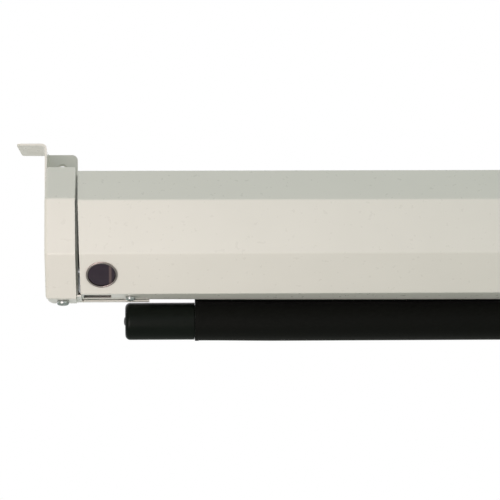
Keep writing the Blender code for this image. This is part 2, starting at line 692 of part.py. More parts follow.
def make_end_plate(side, name, hole_cutters):
    """End plate with its top flange and its foot, which carries the tongue and closes the corner."""
    corners = inset(case_outline(), PLATE_INSET)
    flange_h = CASE_SIZE - CASE_WALL - GAP
    flange_front_d = (CASE_SIZE - TOP_FLANGE_DEPTH) / 2
    flange_rear_d = flange_front_d + TOP_FLANGE_DEPTH
    upper_neck = [Vector((flange_front_d, corners[3].y)), Vector((flange_front_d, flange_h)),
                  Vector((flange_rear_d, flange_h)), Vector((flange_rear_d, corners[4].y))]
    lower_neck = [Vector((FOOT_FOLD_D, corners[7].y)), Vector((FOOT_FOLD_D, FOOT_LOW_H)),
                  Vector((TONGUE_FRONT_D, FOOT_LOW_H)), Vector((TONGUE_FRONT_D, corners[0].y))]
    outline = corners[:4] + upper_neck + corners[4:] + lower_neck
    plate = prism_x(outline, *sorted((end_x(side, PLATE_OUTER_U), end_x(side, PLATE_INNER_U))))

    rise = CASE_SIZE - CASE_WALL - FOOT_FOLD_D - PLATE_SHEET
    rise = min(rise, CHAMFER - PLATE_SHEET)
    foot_path = [(FOOT_FRONT_D, FOOT_LOW_H), (FOOT_FOLD_D, FOOT_LOW_H),
                 (FOOT_FOLD_D + rise, FOOT_LOW_H + rise)]
    foot = prism_x(sheet_outline(foot_path, CASE_FOLD_R, PLATE_SHEET),
                   *sorted((end_x(side, FOOT_OUTER_U), end_x(side, FOOT_LENGTH))))
    clear_d = LIP_END_D + 2 * GAP
    under_lip = block(end_x(side, FOOT_STRIP), end_x(side, FOOT_LENGTH + CASE_WALL),
                      0, clear_d, -CASE_SIZE, 0)
    relief = prism_h(circle_outline((end_x(side, FOOT_STRIP), clear_d), RELIEF_DIA / 2, COARSE),
                     2 * FOOT_LOW_H, 0)
    foot = combine(foot, [under_lip, relief])

    tongue = block(end_x(side, PLATE_INNER_U), end_x(side, FOOT_OUTER_U - TONGUE_LENGTH),
                   TONGUE_FRONT_D, TONGUE_FRONT_D + TONGUE_DEPTH, FOOT_LOW_H, FOOT_LOW_H + PLATE_SHEET)
    flange = block(end_x(side, PLATE_OUTER_U), end_x(side, TOP_FLANGE_LENGTH),
                   flange_front_d, flange_rear_d, flange_h - PLATE_SHEET, flange_h)
    body = combine(plate, [foot, tongue, flange], "UNION")
    holes = [screw_hole(side, BRACKET_SCREW_U, tongue_middle_d(), 0, BRACKET_SCREW),
             screw_hole(side, TOP_SCREW_U, CASE_SIZE / 2, CASE_SIZE, TOP_SCREW)]
    finish_piece(name, combine(body, holes + hole_cutters), "powder_coat")


def axle_hole(side, radius):
    """Round cutter on the roller's axis through the end plate."""
    outline = circle_outline((ROLLER_D, ROLLER_H), radius, MEDIUM)
    return prism_x(outline, *sorted((end_x(side, -CUT_REACH), end_x(side, CUT_REACH))))


def make_inner_clip(side, name):
    """Angle that ties the lip to the end plate, with a window over the access hole."""
    low_h = CASE_WALL + GAP
    rear_d = LIP_END_D - CASE_FOLD_R - GAP
    base = block(end_x(side, 0), end_x(side, CLIP_LENGTH), TONGUE_FRONT_D, rear_d,
                 low_h, low_h + CLIP_SHEET)
    riser = block(end_x(side, 0), end_x(side, CLIP_SHEET), TONGUE_FRONT_D, rear_d,
                  low_h, low_h + CLIP_RISER)
    body = combine(base, [riser], "UNION")
    margin = CLIP_WINDOW_MARGIN
    window = block(end_x(side, ACCESS_U - margin / 2), end_x(side, ACCESS_U + ACCESS_LENGTH + margin),
                   ACCESS_D - margin, ACCESS_D + ACCESS_DEPTH + margin, -CLIP_SHEET, low_h + 2 * CLIP_SHEET)
    hole = screw_hole(side, LIP_SCREW_U, LIP_SCREW_D, 0, LIP_SCREW)
    finish_piece(name, combine(body, [window, hole]), "bright_steel")


# Screws

def make_screw(name, seat, direction, screw, slot="zinc"):
    """Pan-head screw: seat is the middle of the face under the head, direction points out of the head."""
    shank_dia, head_dia, head_height, length = screw
    head_r = head_dia / 2
    shank_r = shank_dia / 2
    side_height = head_height * SCREW_SIDE
    crown_height = head_height - side_height
    crown = []
    for step in range(SCREW_CROWN_STEPS + 1):
        angle = math.radians(72) * step / SCREW_CROWN_STEPS
        crown.append((side_height + crown_height * math.sin(angle),
                      head_r * (1 - SCREW_SIDE * (1 - math.cos(angle)))))
    profile = [(-length, 0), (-length, shank_r * 0.7), (-length + shank_r * 0.6, shank_r),
               (0, shank_r), (0, head_r)] + crown + [(head_height, 0)]
    solid = lathe(profile, seat, direction, COARSE)
    arm = head_r * RECESS_ARM
    half_width = head_r * RECESS_HALF_WIDTH
    turn = Vector((0, 0, 1)).rotation_difference(Vector(direction)).to_matrix().to_4x4()
    cutters = []
    for half_a, half_b in ((arm, half_width), (half_width, arm)):
        rings = []
        for taper, level in ((0.7, head_height * RECESS_FLOOR), (1.1, head_height * 1.3)):
            rings.append([Vector((a * taper, b * taper, level))
                          for a, b in box_outline(-half_a, -half_b, half_a, half_b)])
        recess = loft(rings)
        recess.transform(Matrix.Translation(seat) @ turn)
        cutters.append(recess)
    finish_piece(name, combine(solid, cutters), slot)


def make_screws():
    """The screws that show, and the ones that close the case and the control box."""
    down = (0, 0, -1)
    up = (0, 0, 1)
    for side, word in ((LEFT, "left"), (RIGHT, "right")):
        make_screw("bracket_screw_" + word,
                   case_point(end_x(side, BRACKET_SCREW_U), tongue_middle_d(), -BRACKET_BELOW - GAP),
                   down, BRACKET_SCREW)
        make_screw("lip_screw_" + word,
                   case_point(end_x(side, LIP_SCREW_U), LIP_SCREW_D, -GAP), down, LIP_SCREW)
        make_screw("top_screw_" + word,
                   case_point(end_x(side, TOP_SCREW_U), CASE_SIZE / 2, CASE_SIZE + GAP), up, TOP_SCREW)


# Infrared window and receiver

def window_frame():
    """Centre of the window on the lower front facet, and the facet's outward direction."""
    centre = case_point(end_x(LEFT, WINDOW_U), WINDOW_D, WINDOW_H)
    return centre, Vector((0, -DIAGONAL, -DIAGONAL))


def window_disc(low, high, radius):
    """Disc on the window's axis; distances run outward from the facet."""
    centre, outward = window_frame()
    return lathe([(low, 0), (high, 0), (high, radius), (low, radius)], centre, outward, FINE)


def window_block(low, high, half_u, half_v, shift_u=0.0):
    """Block square to the window's axis; distances run outward from the facet."""
    centre, outward = window_frame()
    across = Vector((1, 0, 0))
    up_facet = outward.cross(across)
    rings = []
    for level in (low, high):
        rings.append([centre + outward * level + across * (shift_u + a * half_u) + up_facet * b * half_v
                      for a, b in ((-1, -1), (1, -1), (1, 1), (-1, 1))])
    return loft(rings)


def make_receiver():
    """Bezel through the facet, lens in its bore, ring nut, circuit board and sensor behind."""
    centre, outward = window_frame()
    rim_r = WINDOW_RIM_DIA / 2
    barrel_r = WINDOW_BARREL_DIA / 2
    bore_r = LENS_DIA / 2 + GAP
    seat_r = bore_r - LENS_SEAT
    lens_back = -LENS_THICK + WINDOW_RIM_PROUD / 2
    bezel = [(-WINDOW_BARREL_LENGTH, seat_r), (-WINDOW_BARREL_LENGTH, barrel_r), (GAP, barrel_r),
             (GAP, rim_r), (GAP + WINDOW_RIM_PROUD * 0.5, rim_r),
             (GAP + WINDOW_RIM_PROUD, rim_r - WINDOW_RIM_BEVEL), (GAP + WINDOW_RIM_PROUD, bore_r),
             (lens_back - GAP, bore_r), (lens_back - GAP, seat_r)]
    finish_piece("window_bezel", lathe(bezel, centre, outward, FINE), "rim_metal")

    lens_r = LENS_DIA / 2
    front = lens_back + LENS_THICK
    crown = [(front + LENS_CROWN * (1 - (share ** 2)), lens_r * share) for share in (0.9, 0.6, 0.3)]
    lens = [(lens_back, 0), (lens_back, lens_r), (front, lens_r)] + crown + [(front + LENS_CROWN, 0)]
    finish_piece("window_lens", lathe(lens, centre, outward, FINE), "ir_lens")

    nut_top = -CASE_WALL - GAP
    nut = ring_profile(nut_top - NUT_THICK, nut_top, barrel_r + GAP, NUT_DIA / 2)
    ring = lathe(nut, centre, outward, FINE)
    notches = []
    for turn in range(4):
        notch = window_block(nut_top - 1.5 * NUT_THICK, nut_top + NUT_THICK,
                             NUT_NOTCH / 2, NUT_NOTCH / 2, NUT_DIA / 2)
        spin = Matrix.Rotation(math.pi / 2 * turn + math.pi / 4, 4, outward)
        notch.transform(Matrix.Translation(centre) @ spin @ Matrix.Translation(-centre))
        notches.append(notch)
    finish_piece("window_nut", combine(ring, notches), "black_plastic")

    board_top = -WINDOW_BARREL_LENGTH - GAP
    board = window_block(board_top - BOARD_THICK, board_top, BOARD_SIZE / 2, BOARD_SIZE / 2)
    finish_piece("receiver_board", board, "circuit_board")
    half = SENSOR_SIZE / 2
    sensor_base = board_top + GAP
    body = window_block(sensor_base, sensor_base + SENSOR_DEPTH * 0.6, half, half)
    dome = lathe([(sensor_base, 0), (sensor_base + SENSOR_DEPTH * 0.6, half * 0.8),
                  (sensor_base + SENSOR_DEPTH * 0.9, half * 0.55), (sensor_base + SENSOR_DEPTH, 0)],
                 centre, outward, COARSE)
    finish_piece("receiver_sensor", combine(body, [dome], "UNION"), "black_plastic")


# Motor

def adjuster_d():
    """Depth of the adjusters: on the motor head's lowest line."""
    return ROLLER_D


def roller_lathe(profile, side, count=MEDIUM):
    """Spin a profile of (u, radius) round the roller's axis."""
    world = [(end_x(side, u), radius) for u, radius in profile]
    return lathe(world, case_point(0, ROLLER_D, ROLLER_H), (1, 0, 0), count)


def make_motor():
    """Fixed half of the drive: head on the left end plate, motor tube, collar and retaining clip."""
    head_r = MOTOR_HEAD_DIA / 2
    stud_r = MOTOR_STUD_DIA / 2
    groove_u = PLATE_OUTER_U - GAP
    groove_r = stud_r - RING_GROOVE
    stud_end = PLATE_OUTER_U - MOTOR_STUD_LENGTH
    groove_low = groove_u - CLIP_RING - 2 * GAP
    head = [(stud_end, 0), (stud_end, stud_r - END_BEVEL), (stud_end + END_BEVEL, stud_r),
            (groove_low, stud_r), (groove_low, groove_r), (groove_u, groove_r), (groove_u, stud_r),
            (0, stud_r), (0, head_r - HEAD_BEVEL), (HEAD_BEVEL, head_r),
            (MOTOR_HEAD_LENGTH - HEAD_BEVEL, head_r), (MOTOR_HEAD_LENGTH, head_r - HEAD_BEVEL),
            (MOTOR_HEAD_LENGTH, 0)]
    body = roller_lathe(head, LEFT)
    bores = []
    seat_h = ROLLER_H - head_r
    for u in ADJUSTER_U:
        circle = circle_outline((end_x(LEFT, u), adjuster_d()), ADJUSTER_DIA / 2 + GAP, COARSE)
        bores.append(prism_h(circle, seat_h - CUT_REACH, seat_h + ADJUSTER_LENGTH))
    finish_piece("motor_head", combine(body, bores), "black_plastic")

    tube_r = MOTOR_DIA / 2
    bush_r = SHAFT_DIA / 2 + GAP
    end_u = MOTOR_TUBE_END_U
    tube = [(MOTOR_TUBE_U, tube_r - MOTOR_WALL), (end_u - 2 * MOTOR_WALL, tube_r - MOTOR_WALL),
            (end_u - 2 * MOTOR_WALL, bush_r), (end_u, bush_r), (end_u, tube_r), (MOTOR_TUBE_U, tube_r)]
    finish_piece("motor_tube", roller_lathe(tube, LEFT), "bright_steel")

    clip_inner = groove_r + GAP
    clip_mid_u = (groove_u + groove_low) / 2
    make_spring_ring("motor_clip", LEFT, clip_mid_u, clip_inner)


def make_spring_ring(name, side, middle_u, inner_r, parent=None):
    """Open spring ring in a groove on the roller's axis."""
    low_u = middle_u - CLIP_RING / 2
    ring = roller_lathe(ring_profile(low_u, low_u + CLIP_RING, inner_r, inner_r + CLIP_RING_REACH), side)
    mouth = block(end_x(side, low_u - CLIP_RING), end_x(side, low_u + 2 * CLIP_RING),
                  ROLLER_D - inner_r * 0.8, ROLLER_D + inner_r * 0.8,
                  ROLLER_H - inner_r - 2 * CLIP_RING_REACH, ROLLER_H)
    pivot = case_point(end_x(side, middle_u), ROLLER_D, ROLLER_H)
    finish_piece(name, combine(ring, [mouth]), "bright_steel", pivot if parent else None, parent)


def make_adjusters():
    """Two limit adjusters with hexagon sockets, each turning on its own upright axis."""
    seat_h = ROLLER_H - MOTOR_HEAD_DIA / 2
    for name, u, slot in (("limit_adjuster_up", ADJUSTER_U[0], "white_plastic"),
                          ("limit_adjuster_down", ADJUSTER_U[1], "red_plastic")):
        low = case_point(end_x(LEFT, u), adjuster_d(), seat_h - ADJUSTER_PROUD)
        profile = [(0, 0), (0, ADJUSTER_DIA / 2 - ADJUSTER_BEVEL), (ADJUSTER_BEVEL, ADJUSTER_DIA / 2),
                   (ADJUSTER_LENGTH, ADJUSTER_DIA / 2), (ADJUSTER_LENGTH, 0)]
        body = lathe(profile, low, (0, 0, 1), COARSE)
        socket_r = HEX_KEY / 2 / math.cos(math.pi / 6)
        socket = prism_h(circle_outline((low.x, adjuster_d()), socket_r, 6),
                         seat_h - CUT_REACH, seat_h + ADJUSTER_LENGTH / 2)
        finish_piece(name, combine(body, [socket]), slot, low)


# Roller

def make_roller():
    """Everything that turns with the fabric, parented to an empty on the roller's axis."""
    axis_point = case_point(0, ROLLER_D, ROLLER_H)
    spin = bpy.data.objects.new("roller_axis", None)
    spin.location = axis_point
    bpy.context.scene.collection.objects.link(spin)

    def turning(name, mesh, slot):
        finish_piece(name, mesh, slot, axis_point, spin)

    tube_r = ROLLER_DIA / 2
    half = CASE_LENGTH / 2 - ROLLER_END_U
    tube = lathe(ring_profile(-half, half, TUBE_BORE_R, tube_r), axis_point, (1, 0, 0), MEDIUM)
    turning("roller_tube", tube, "aluminium")

    roll_half = FABRIC_WIDTH / 2
    roll = lathe(ring_profile(-roll_half, roll_half, ROLL_INNER_R, ROLL_OUTER_R), axis_point,
                 (1, 0, 0), MEDIUM)
    turning("fabric_roll", roll, "black_fabric")

    motor_r = CROWN_BORE_R
    flange_end = ROLLER_END_U - GAP
    flange_start = flange_end - CROWN_FLANGE
    crown = [(flange_start, motor_r), (flange_end + CROWN_LENGTH, motor_r),
             (flange_end + CROWN_LENGTH, INSERT_R), (flange_end, INSERT_R),
             (flange_end, COLLAR_DIA / 2), (flange_start, COLLAR_DIA / 2)]
    turning("crown_ring", roller_lathe(crown, LEFT), "grey_plastic")

    shaft_r = SHAFT_DIA / 2
    shaft_start = MOTOR_TUBE_END_U - 2 * MOTOR_WALL
    shaft_end = MOTOR_TUBE_END_U + SHAFT_LENGTH
    wheel_start = MOTOR_TUBE_END_U + DRIVE_WHEEL_OFFSET
    wheel_end = wheel_start + DRIVE_WHEEL_WIDTH
    groove_start = wheel_end + GAP
    groove_end = groove_start + CLIP_RING + 2 * GAP
    groove_r = shaft_r - RING_GROOVE
    shaft = [(shaft_start, 0), (shaft_start, shaft_r), (groove_start, shaft_r), (groove_start, groove_r),
             (groove_end, groove_r), (groove_end, shaft_r), (shaft_end - END_BEVEL, shaft_r),
             (shaft_end, shaft_r - END_BEVEL), (shaft_end, 0)]
    turning("output_shaft", roller_lathe(shaft, LEFT), "bright_steel")
    make_spring_ring("shaft_clip", LEFT, (groove_start + groove_end) / 2, groove_r + GAP, spin)

    hub_r = shaft_r + WHEEL_HUB
    rim_r = INSERT_R - WHEEL_RIM
    web = DRIVE_WHEEL_WIDTH / 4
    wheel = [(wheel_start, shaft_r + GAP), (wheel_end, shaft_r + GAP), (wheel_end, hub_r),
             (wheel_end - web, hub_r), (wheel_end - web, rim_r), (wheel_end, rim_r), (wheel_end, INSERT_R),
             (wheel_start, INSERT_R), (wheel_start, rim_r), (wheel_start + web, rim_r),
             (wheel_start + web, hub_r), (wheel_start, hub_r)]
    turning("drive_wheel", roller_lathe(wheel, LEFT), "grey_plastic")

    axle_r = AXLE_DIA / 2
    sleeve_r = axle_r + WHEEL_HUB
    shell_r = INSERT_R - WHEEL_RIM
    plug_end = flange_end + PLUG_LENGTH
    web_end = flange_end + web
    plug = [(flange_start, axle_r + GAP), (plug_end, axle_r + GAP), (plug_end, sleeve_r),
            (web_end, sleeve_r), (web_end, shell_r), (plug_end, shell_r), (plug_end, INSERT_R),
            (flange_end, INSERT_R), (flange_end, COLLAR_DIA / 2), (flange_start, COLLAR_DIA / 2)]
    turning("idler_plug", roller_lathe(plug, RIGHT), "grey_plastic")

    bush_end = PLATE_OUTER_U - GAP
    ring_low = bush_end - CLIP_RING - 3 * GAP
    axle_start = ring_low - 2 * END_BEVEL
    axle_end = axle_start + AXLE_LENGTH
    groove_r = axle_r - RING_GROOVE
    axle = [(axle_start, 0), (axle_start, axle_r - END_BEVEL), (axle_start + END_BEVEL, axle_r),
            (ring_low, axle_r), (ring_low, groove_r), (bush_end - GAP, groove_r),
            (bush_end - GAP, axle_r), (axle_end - END_BEVEL, axle_r), (axle_end, axle_r - END_BEVEL),
            (axle_end, 0)]
    turning("idler_axle", roller_lathe(axle, RIGHT), "bright_steel")
    make_spring_ring("axle_clip", RIGHT, (ring_low + bush_end - GAP) / 2, groove_r + GAP, spin)

    bush_r = axle_r + GAP + BUSH_WALL
    bush = [(bush_end, axle_r + GAP), (BUSH_FLANGE, axle_r + GAP), (BUSH_FLANGE, BUSH_FLANGE_DIA / 2),
            (0, BUSH_FLANGE_DIA / 2), (0, bush_r), (bush_end, bush_r)]
    finish_piece("idler_bush", roller_lathe(bush, RIGHT), "white_plastic")


# Control box

def make_control_box():
    """Tray behind the motor head with its lid, two lid screws, and the grommet in the end plate."""
    x_low = end_x(LEFT, BOX_U)
    x_high = end_x(LEFT, BOX_U + BOX_LENGTH)
    front_d = ROLLER_D + max(MOTOR_HEAD_DIA, COLLAR_DIA) / 2 + BOX_CLEAR
    rear_d = CASE_SIZE - CASE_WALL - GAP
    high_h = BOX_HIGH_H
    lid_d = front_d + BOX_WALL
    tray = block(x_low, x_high, lid_d + GAP, rear_d, BOX_LOW_H, high_h)
    hollow = block(x_low + BOX_WALL, x_high - BOX_WALL, front_d, rear_d - BOX_WALL,
                   BOX_LOW_H + BOX_WALL, high_h - BOX_WALL)
    middle_h = (BOX_LOW_H + high_h) / 2
    boss_half = BOSS_SIZE / 2
    seats = (x_low + BOX_WALL + boss_half, x_high - BOX_WALL - boss_half)
    tray = combine(tray, [hollow])
    bosses = [block(x - boss_half, x + boss_half, lid_d + 2 * GAP, rear_d - BOX_WALL / 2,
                    middle_h - boss_half, middle_h + boss_half) for x in seats]
    tray = combine(tray, bosses, "UNION")
    radius = LID_SCREW[0] / 2 + GAP
    holes = [prism_d(circle_outline((x, middle_h), radius, COARSE), front_d - BOX_WALL, lid_d + BOSS_DEPTH)
             for x in seats]
    finish_piece("control_box", combine(tray, holes), "grey_plastic")
    lid = block(x_low, x_high, front_d, lid_d, BOX_LOW_H, high_h)
    holes = [prism_d(circle_outline((x, middle_h), radius, COARSE), front_d - BOX_WALL, lid_d + BOX_WALL)
             for x in seats]
    sink = LID_SCREW[2] * 0.6
    for x in seats:
        holes.append(prism_d(circle_outline((x, middle_h), LID_SCREW[1] / 2 + GAP, COARSE),
                             front_d - BOX_WALL, front_d + sink))
    finish_piece("control_box_lid", combine(lid, holes), "grey_plastic")
    for number, x in enumerate(seats, 1):
        seat = case_point(x, front_d + sink - GAP, middle_h)
        make_screw("lid_screw_%d" % number, seat, (0, -1, 0), LID_SCREW)

    outer_r = GROMMET_DIA / 2
    neck_r = outer_r - GROMMET_FLANGE
    bore_r = GROMMET_BORE / 2
    lip = GROMMET_LIP
    profile = [(PLATE_OUTER_U - GAP - lip, bore_r), (PLATE_INNER_U + GAP + lip, bore_r),
               (PLATE_INNER_U + GAP + lip, neck_r), (PLATE_INNER_U + GAP, outer_r),
               (PLATE_INNER_U + GAP, neck_r), (PLATE_OUTER_U - GAP, neck_r),
               (PLATE_OUTER_U - GAP, outer_r), (PLATE_OUTER_U - GAP - lip, neck_r)]
    world = [(end_x(LEFT, u), r) for u, r in profile]
    grommet = lathe(world, case_point(0, GROMMET_D, GROMMET_H), (1, 0, 0), MEDIUM)
    finish_piece("mains_grommet", grommet, "rubber")


def grommet_hole():
    """Cutter for the grommet's neck in the left end plate."""
    radius = GROMMET_DIA / 2 - GROMMET_FLANGE + GAP
    outline = circle_outline((GROMMET_D, GROMMET_H), radius, MEDIUM)
    return prism_x(outline, end_x(LEFT, -CUT_REACH), end_x(LEFT, CUT_REACH))


# Bottom bar and fabric

def make_bar():
    """Weighted bar with plastic end caps in the hem, parented to an empty on the bar's axis."""
    axis_point = case_point(0, FABRIC_D, BAR_H)
    slide = bpy.data.objects.new("bar_axis", None)
    slide.location = axis_point
    bpy.context.scene.collection.objects.link(slide)

    half = FABRIC_WIDTH / 2
    bar_r = BAR_DIA / 2
    tube = lathe(ring_profile(-half, half, bar_r - BAR_WALL, bar_r), axis_point, (1, 0, 0), FINE)
    finish_piece("bar_tube", tube, "bright_steel", axis_point, slide)
    hem = lathe(ring_profile(-half, half, HEM_INNER_R, HEM_OUTER_R), axis_point, (1, 0, 0), FINE)
    finish_piece("bar_hem", hem, "black_fabric", axis_point, slide)

    cap_r = CAP_DIA / 2
    shoulder_u = END_ROOM - GAP
    spigot_r = bar_r - BAR_WALL - GAP
    bore_r = spigot_r - CAP_WALL
    pip_r = PIP_DIA / 2
    face = CAP_START_U
    pip = [(face - PIP_PROUD * math.cos(a), pip_r * math.sin(a))
           for a in (math.radians(35 * step) for step in range(3))]
    shoulder_arc = [(face + CAP_ROUND * (1 - math.cos(a)), cap_r - CAP_ROUND * (1 - math.sin(a)))
                    for a in (math.radians(22.5 * step) for step in range(5))]
    profile = pip + [(face, pip_r)] + shoulder_arc + [
        (shoulder_u, cap_r), (shoulder_u, spigot_r), (shoulder_u + CAP_SPIGOT, spigot_r),
        (shoulder_u + CAP_SPIGOT, bore_r), (face + 3 * CAP_WALL, bore_r), (face + 3 * CAP_WALL, 0)]
    for side, word in ((LEFT, "left"), (RIGHT, "right")):
        world = [(end_x(side, u), r) for u, r in profile]
        cap = lathe(world, axis_point, (1, 0, 0), FINE)
        finish_piece("bar_cap_" + word, cap, "black_plastic", axis_point, slide)


def make_fabric_drop():
    """The stretch of fabric between the roll and the hem."""
    low_h = BAR_H + HEM_OUTER_R + GAP
    drop = block(-FABRIC_WIDTH / 2, FABRIC_WIDTH / 2, FABRIC_D - FABRIC_THICK / 2,
                 FABRIC_D + FABRIC_THICK / 2, low_h, ROLLER_H)
    finish_piece("fabric_drop", drop, "black_fabric")


def build():
    """Make the whole screen."""
    for piece in list(bpy.data.objects):
        bpy.data.objects.remove(piece)
    make_case()
    make_brackets()
    motor_hole = axle_hole(LEFT, MOTOR_STUD_DIA / 2 + GAP)
    bush_hole = axle_hole(RIGHT, AXLE_DIA / 2 + BUSH_WALL + 2 * GAP)
    make_end_plate(LEFT, "end_plate_left", [motor_hole, grommet_hole()])
    make_end_plate(RIGHT, "end_plate_right", [bush_hole])
    make_inner_clip(LEFT, "inner_clip_left")
    make_inner_clip(RIGHT, "inner_clip_right")
    make_screws()
    make_receiver()
    make_motor()
    make_adjusters()
    make_roller()
    make_control_box()
    make_bar()
    make_fabric_drop()


build()
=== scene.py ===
"""Looks of a motorized projector screen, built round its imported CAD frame.

World frame: X along the screen, +Y towards the wall, +Z up, metres. Sections are drawn in two local
distances: d runs back from the case's front face, and h runs up from its underside. Near an end,
u runs inward from the case's end.
"""
import math

import bmesh
import bpy
from mathutils import Matrix, Vector


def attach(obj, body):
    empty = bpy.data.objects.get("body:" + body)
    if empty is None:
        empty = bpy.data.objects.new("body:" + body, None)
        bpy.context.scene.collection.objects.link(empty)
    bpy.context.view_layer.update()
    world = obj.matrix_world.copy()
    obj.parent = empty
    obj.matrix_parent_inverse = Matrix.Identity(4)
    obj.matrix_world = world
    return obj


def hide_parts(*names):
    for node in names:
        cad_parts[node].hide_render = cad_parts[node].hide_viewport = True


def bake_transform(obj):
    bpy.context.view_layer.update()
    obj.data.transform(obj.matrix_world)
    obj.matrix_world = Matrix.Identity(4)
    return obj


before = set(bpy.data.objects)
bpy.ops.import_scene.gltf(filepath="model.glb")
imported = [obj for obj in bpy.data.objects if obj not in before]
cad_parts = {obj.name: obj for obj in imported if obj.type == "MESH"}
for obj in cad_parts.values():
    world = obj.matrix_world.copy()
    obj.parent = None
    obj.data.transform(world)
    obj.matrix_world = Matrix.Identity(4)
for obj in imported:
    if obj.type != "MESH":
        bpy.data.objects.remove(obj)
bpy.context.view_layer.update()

MM = 0.001
LEFT = -1
RIGHT = 1
SIDES = ((LEFT, "left"), (RIGHT, "right"))
GAP = 0.3 * MM

# Case and its ends: the CAD's sizes, but for those marked as the photograph's
FABRIC_WIDTH = 1500 * MM
FABRIC_THICK = 0.3 * MM
END_ROOM = 81 * MM
CASE_SIZE = 86.5 * MM
CASE_FLAT = 37.3 * MM
CASE_WALL = 1.0 * MM
CASE_FOLD_R = 2.0 * MM
CASE_LENGTH = FABRIC_WIDTH + 2 * END_ROOM
CHAMFER = (CASE_SIZE - CASE_FLAT) / 2
BRACKET_BELOW = 3.0 * MM
BRACKET_ABOVE = 3.3 * MM
BRACKET_FRONT = 1.2 * MM
BRACKET_FLAT_BELOW = 0.4 * MM
BRACKET_FLAT_ABOVE = 0.9 * MM
BRACKET_SHEET = 1.4 * MM
BRACKET_BEND_R = 2.8 * MM
BRACKET_FOLD_R = 2.4 * MM
BRACKET_EDGE_U = -1.6 * MM
BRACKET_EDGE_SKEW = 0.6 * MM  # from the photograph
EAR_EDGE_U = -1.9 * MM  # from the photograph
EAR_OUT = 1.3 * MM  # from the photograph; outside the tray
BRACKET_OUTER_U = BRACKET_EDGE_U - 21.2 * MM
WALL_D = CASE_SIZE + 3.0 * MM
CEILING_H = CASE_SIZE + 22.6 * MM
TAB_LENGTH = 20.9 * MM
TAB_TAPER = 2.4 * MM
TAB_FRONT_D = 42.8 * MM
TAB_DEPTH = 41 * MM
TAB_BEND_R = 3.6 * MM
TAB_CORNER_R = 3.0 * MM
PLATE_CORNER_R = 4.0 * MM
WALL_HOLE_R = 3.1 * MM
COUNTERSINK_R = 4.3 * MM
COUNTERSINK_DEPTH = 1.1 * MM
JOIN_STEP = 0.05 * MM  # keeps the faces of joined pieces apart
THROUGH = 5 * MM  # half a cutter's length, through sheet metal

# Lower end of the bracket, from the photograph: a slope at its side plate and a notch, in (u, d) millimetres
SIDE_PLATE_SLOPE = 0.176
SLOPE_WIDTH = 1.45 * MM
NOTCH_D = 26.5 * MM
NOTCH = ((-25, 26.5), (-22.75, 26.5), (-22.2, 31), (-21.3, 37), (-20.0, 44), (-18.2, 50), (-16.5, 52.5),
         (-25, 52.5))

WALL_HOLES_H = (CEILING_H - 11 * MM, 40 * MM)
WALL_HOLE_U = (BRACKET_OUTER_U + BRACKET_EDGE_U + BRACKET_SHEET) / 2 - 1.4 * MM
GUSSET_DROP = 9.5 * MM
GUSSET_HEIGHT = 13 * MM
GUSSET_REACH = 5.5 * MM
GUSSET_SHAPE = ((0.3, 0.0), (1.0, 0.45), (0.06, 1.0))  # share of the reach, share of the height
FOOT_FRONT_D = CHAMFER + 0.9 * MM
FOOT_FOLD_D = CASE_SIZE - CHAMFER - 1.9 * MM
FOOT_LOW_H = -1.3 * MM
FOOT_STRIP = 1.8 * MM
FOOT_LENGTH = 49 * MM
FOOT_RELIEF_R = 1.2 * MM
PLATE_SHEET = 1.0 * MM
PLATE_OUTER_U = -GAP - 1.6 * MM
FOOT_OUTER_U = -GAP - PLATE_SHEET
FLANGE_HALF = 8 * MM
FLANGE_LENGTH = 14 * MM
LIP_END_D = FOOT_FOLD_D - 5.8 * MM  # from the photograph
LIP_HEM = 6 * MM
REAR_RETURN = 6.5 * MM
BRACKET_LIP_D = FOOT_FOLD_D - 9.0 * MM
BRACKET_SCREW_U = (BRACKET_EDGE_U + BRACKET_OUTER_U) / 2 + 1.2 * MM  # from the photograph
TONGUE_FRONT_D = CHAMFER + 2.4 * MM
TONGUE_DEPTH = 19 * MM
TONGUE_LENGTH = 17 * MM
PLATE_INSET = 7.0 * MM
TONGUE_MIDDLE_D = TONGUE_FRONT_D + TONGUE_DEPTH / 2
LIP_SCREW_U = 35.8 * MM
LIP_SCREW_D = CHAMFER + 12.4 * MM
TOP_SCREW_U = 8 * MM

# Droop of the lip between its clips, and skew of the case's cut ends about a level, from the photograph
LIP_DROOP = 1.15 * MM
LIP_DROOP_START = 20 * MM
LIP_DROOP_LENGTH = 330 * MM
DROOP_STATIONS = range(50, 351, 30)  # millimetres from each end
END_SKEW = 2.2 * MM
SQUARE_AT = 2 / 3  # share of the case's height

# Screws: shank and head diameter, head height, length and pitch
BRACKET_SCREW = (4.0 * MM, 8.6 * MM, 3.0 * MM, 6.0 * MM, 0.7 * MM)
LIP_SCREW = (3.5 * MM, 7.0 * MM, 2.8 * MM, 5.0 * MM, 0.6 * MM)
TOP_SCREW = (3.5 * MM, 7.0 * MM, 2.0 * MM, 5.0 * MM, 0.6 * MM)
THREAD_STEPS = 8
RECESS_TURN = math.radians(28)
RECESS_LEVELS = ((0.45, 0.25), (1.0, 0.95), (1.1, 1.3))  # shares of an arm's length and the head's height

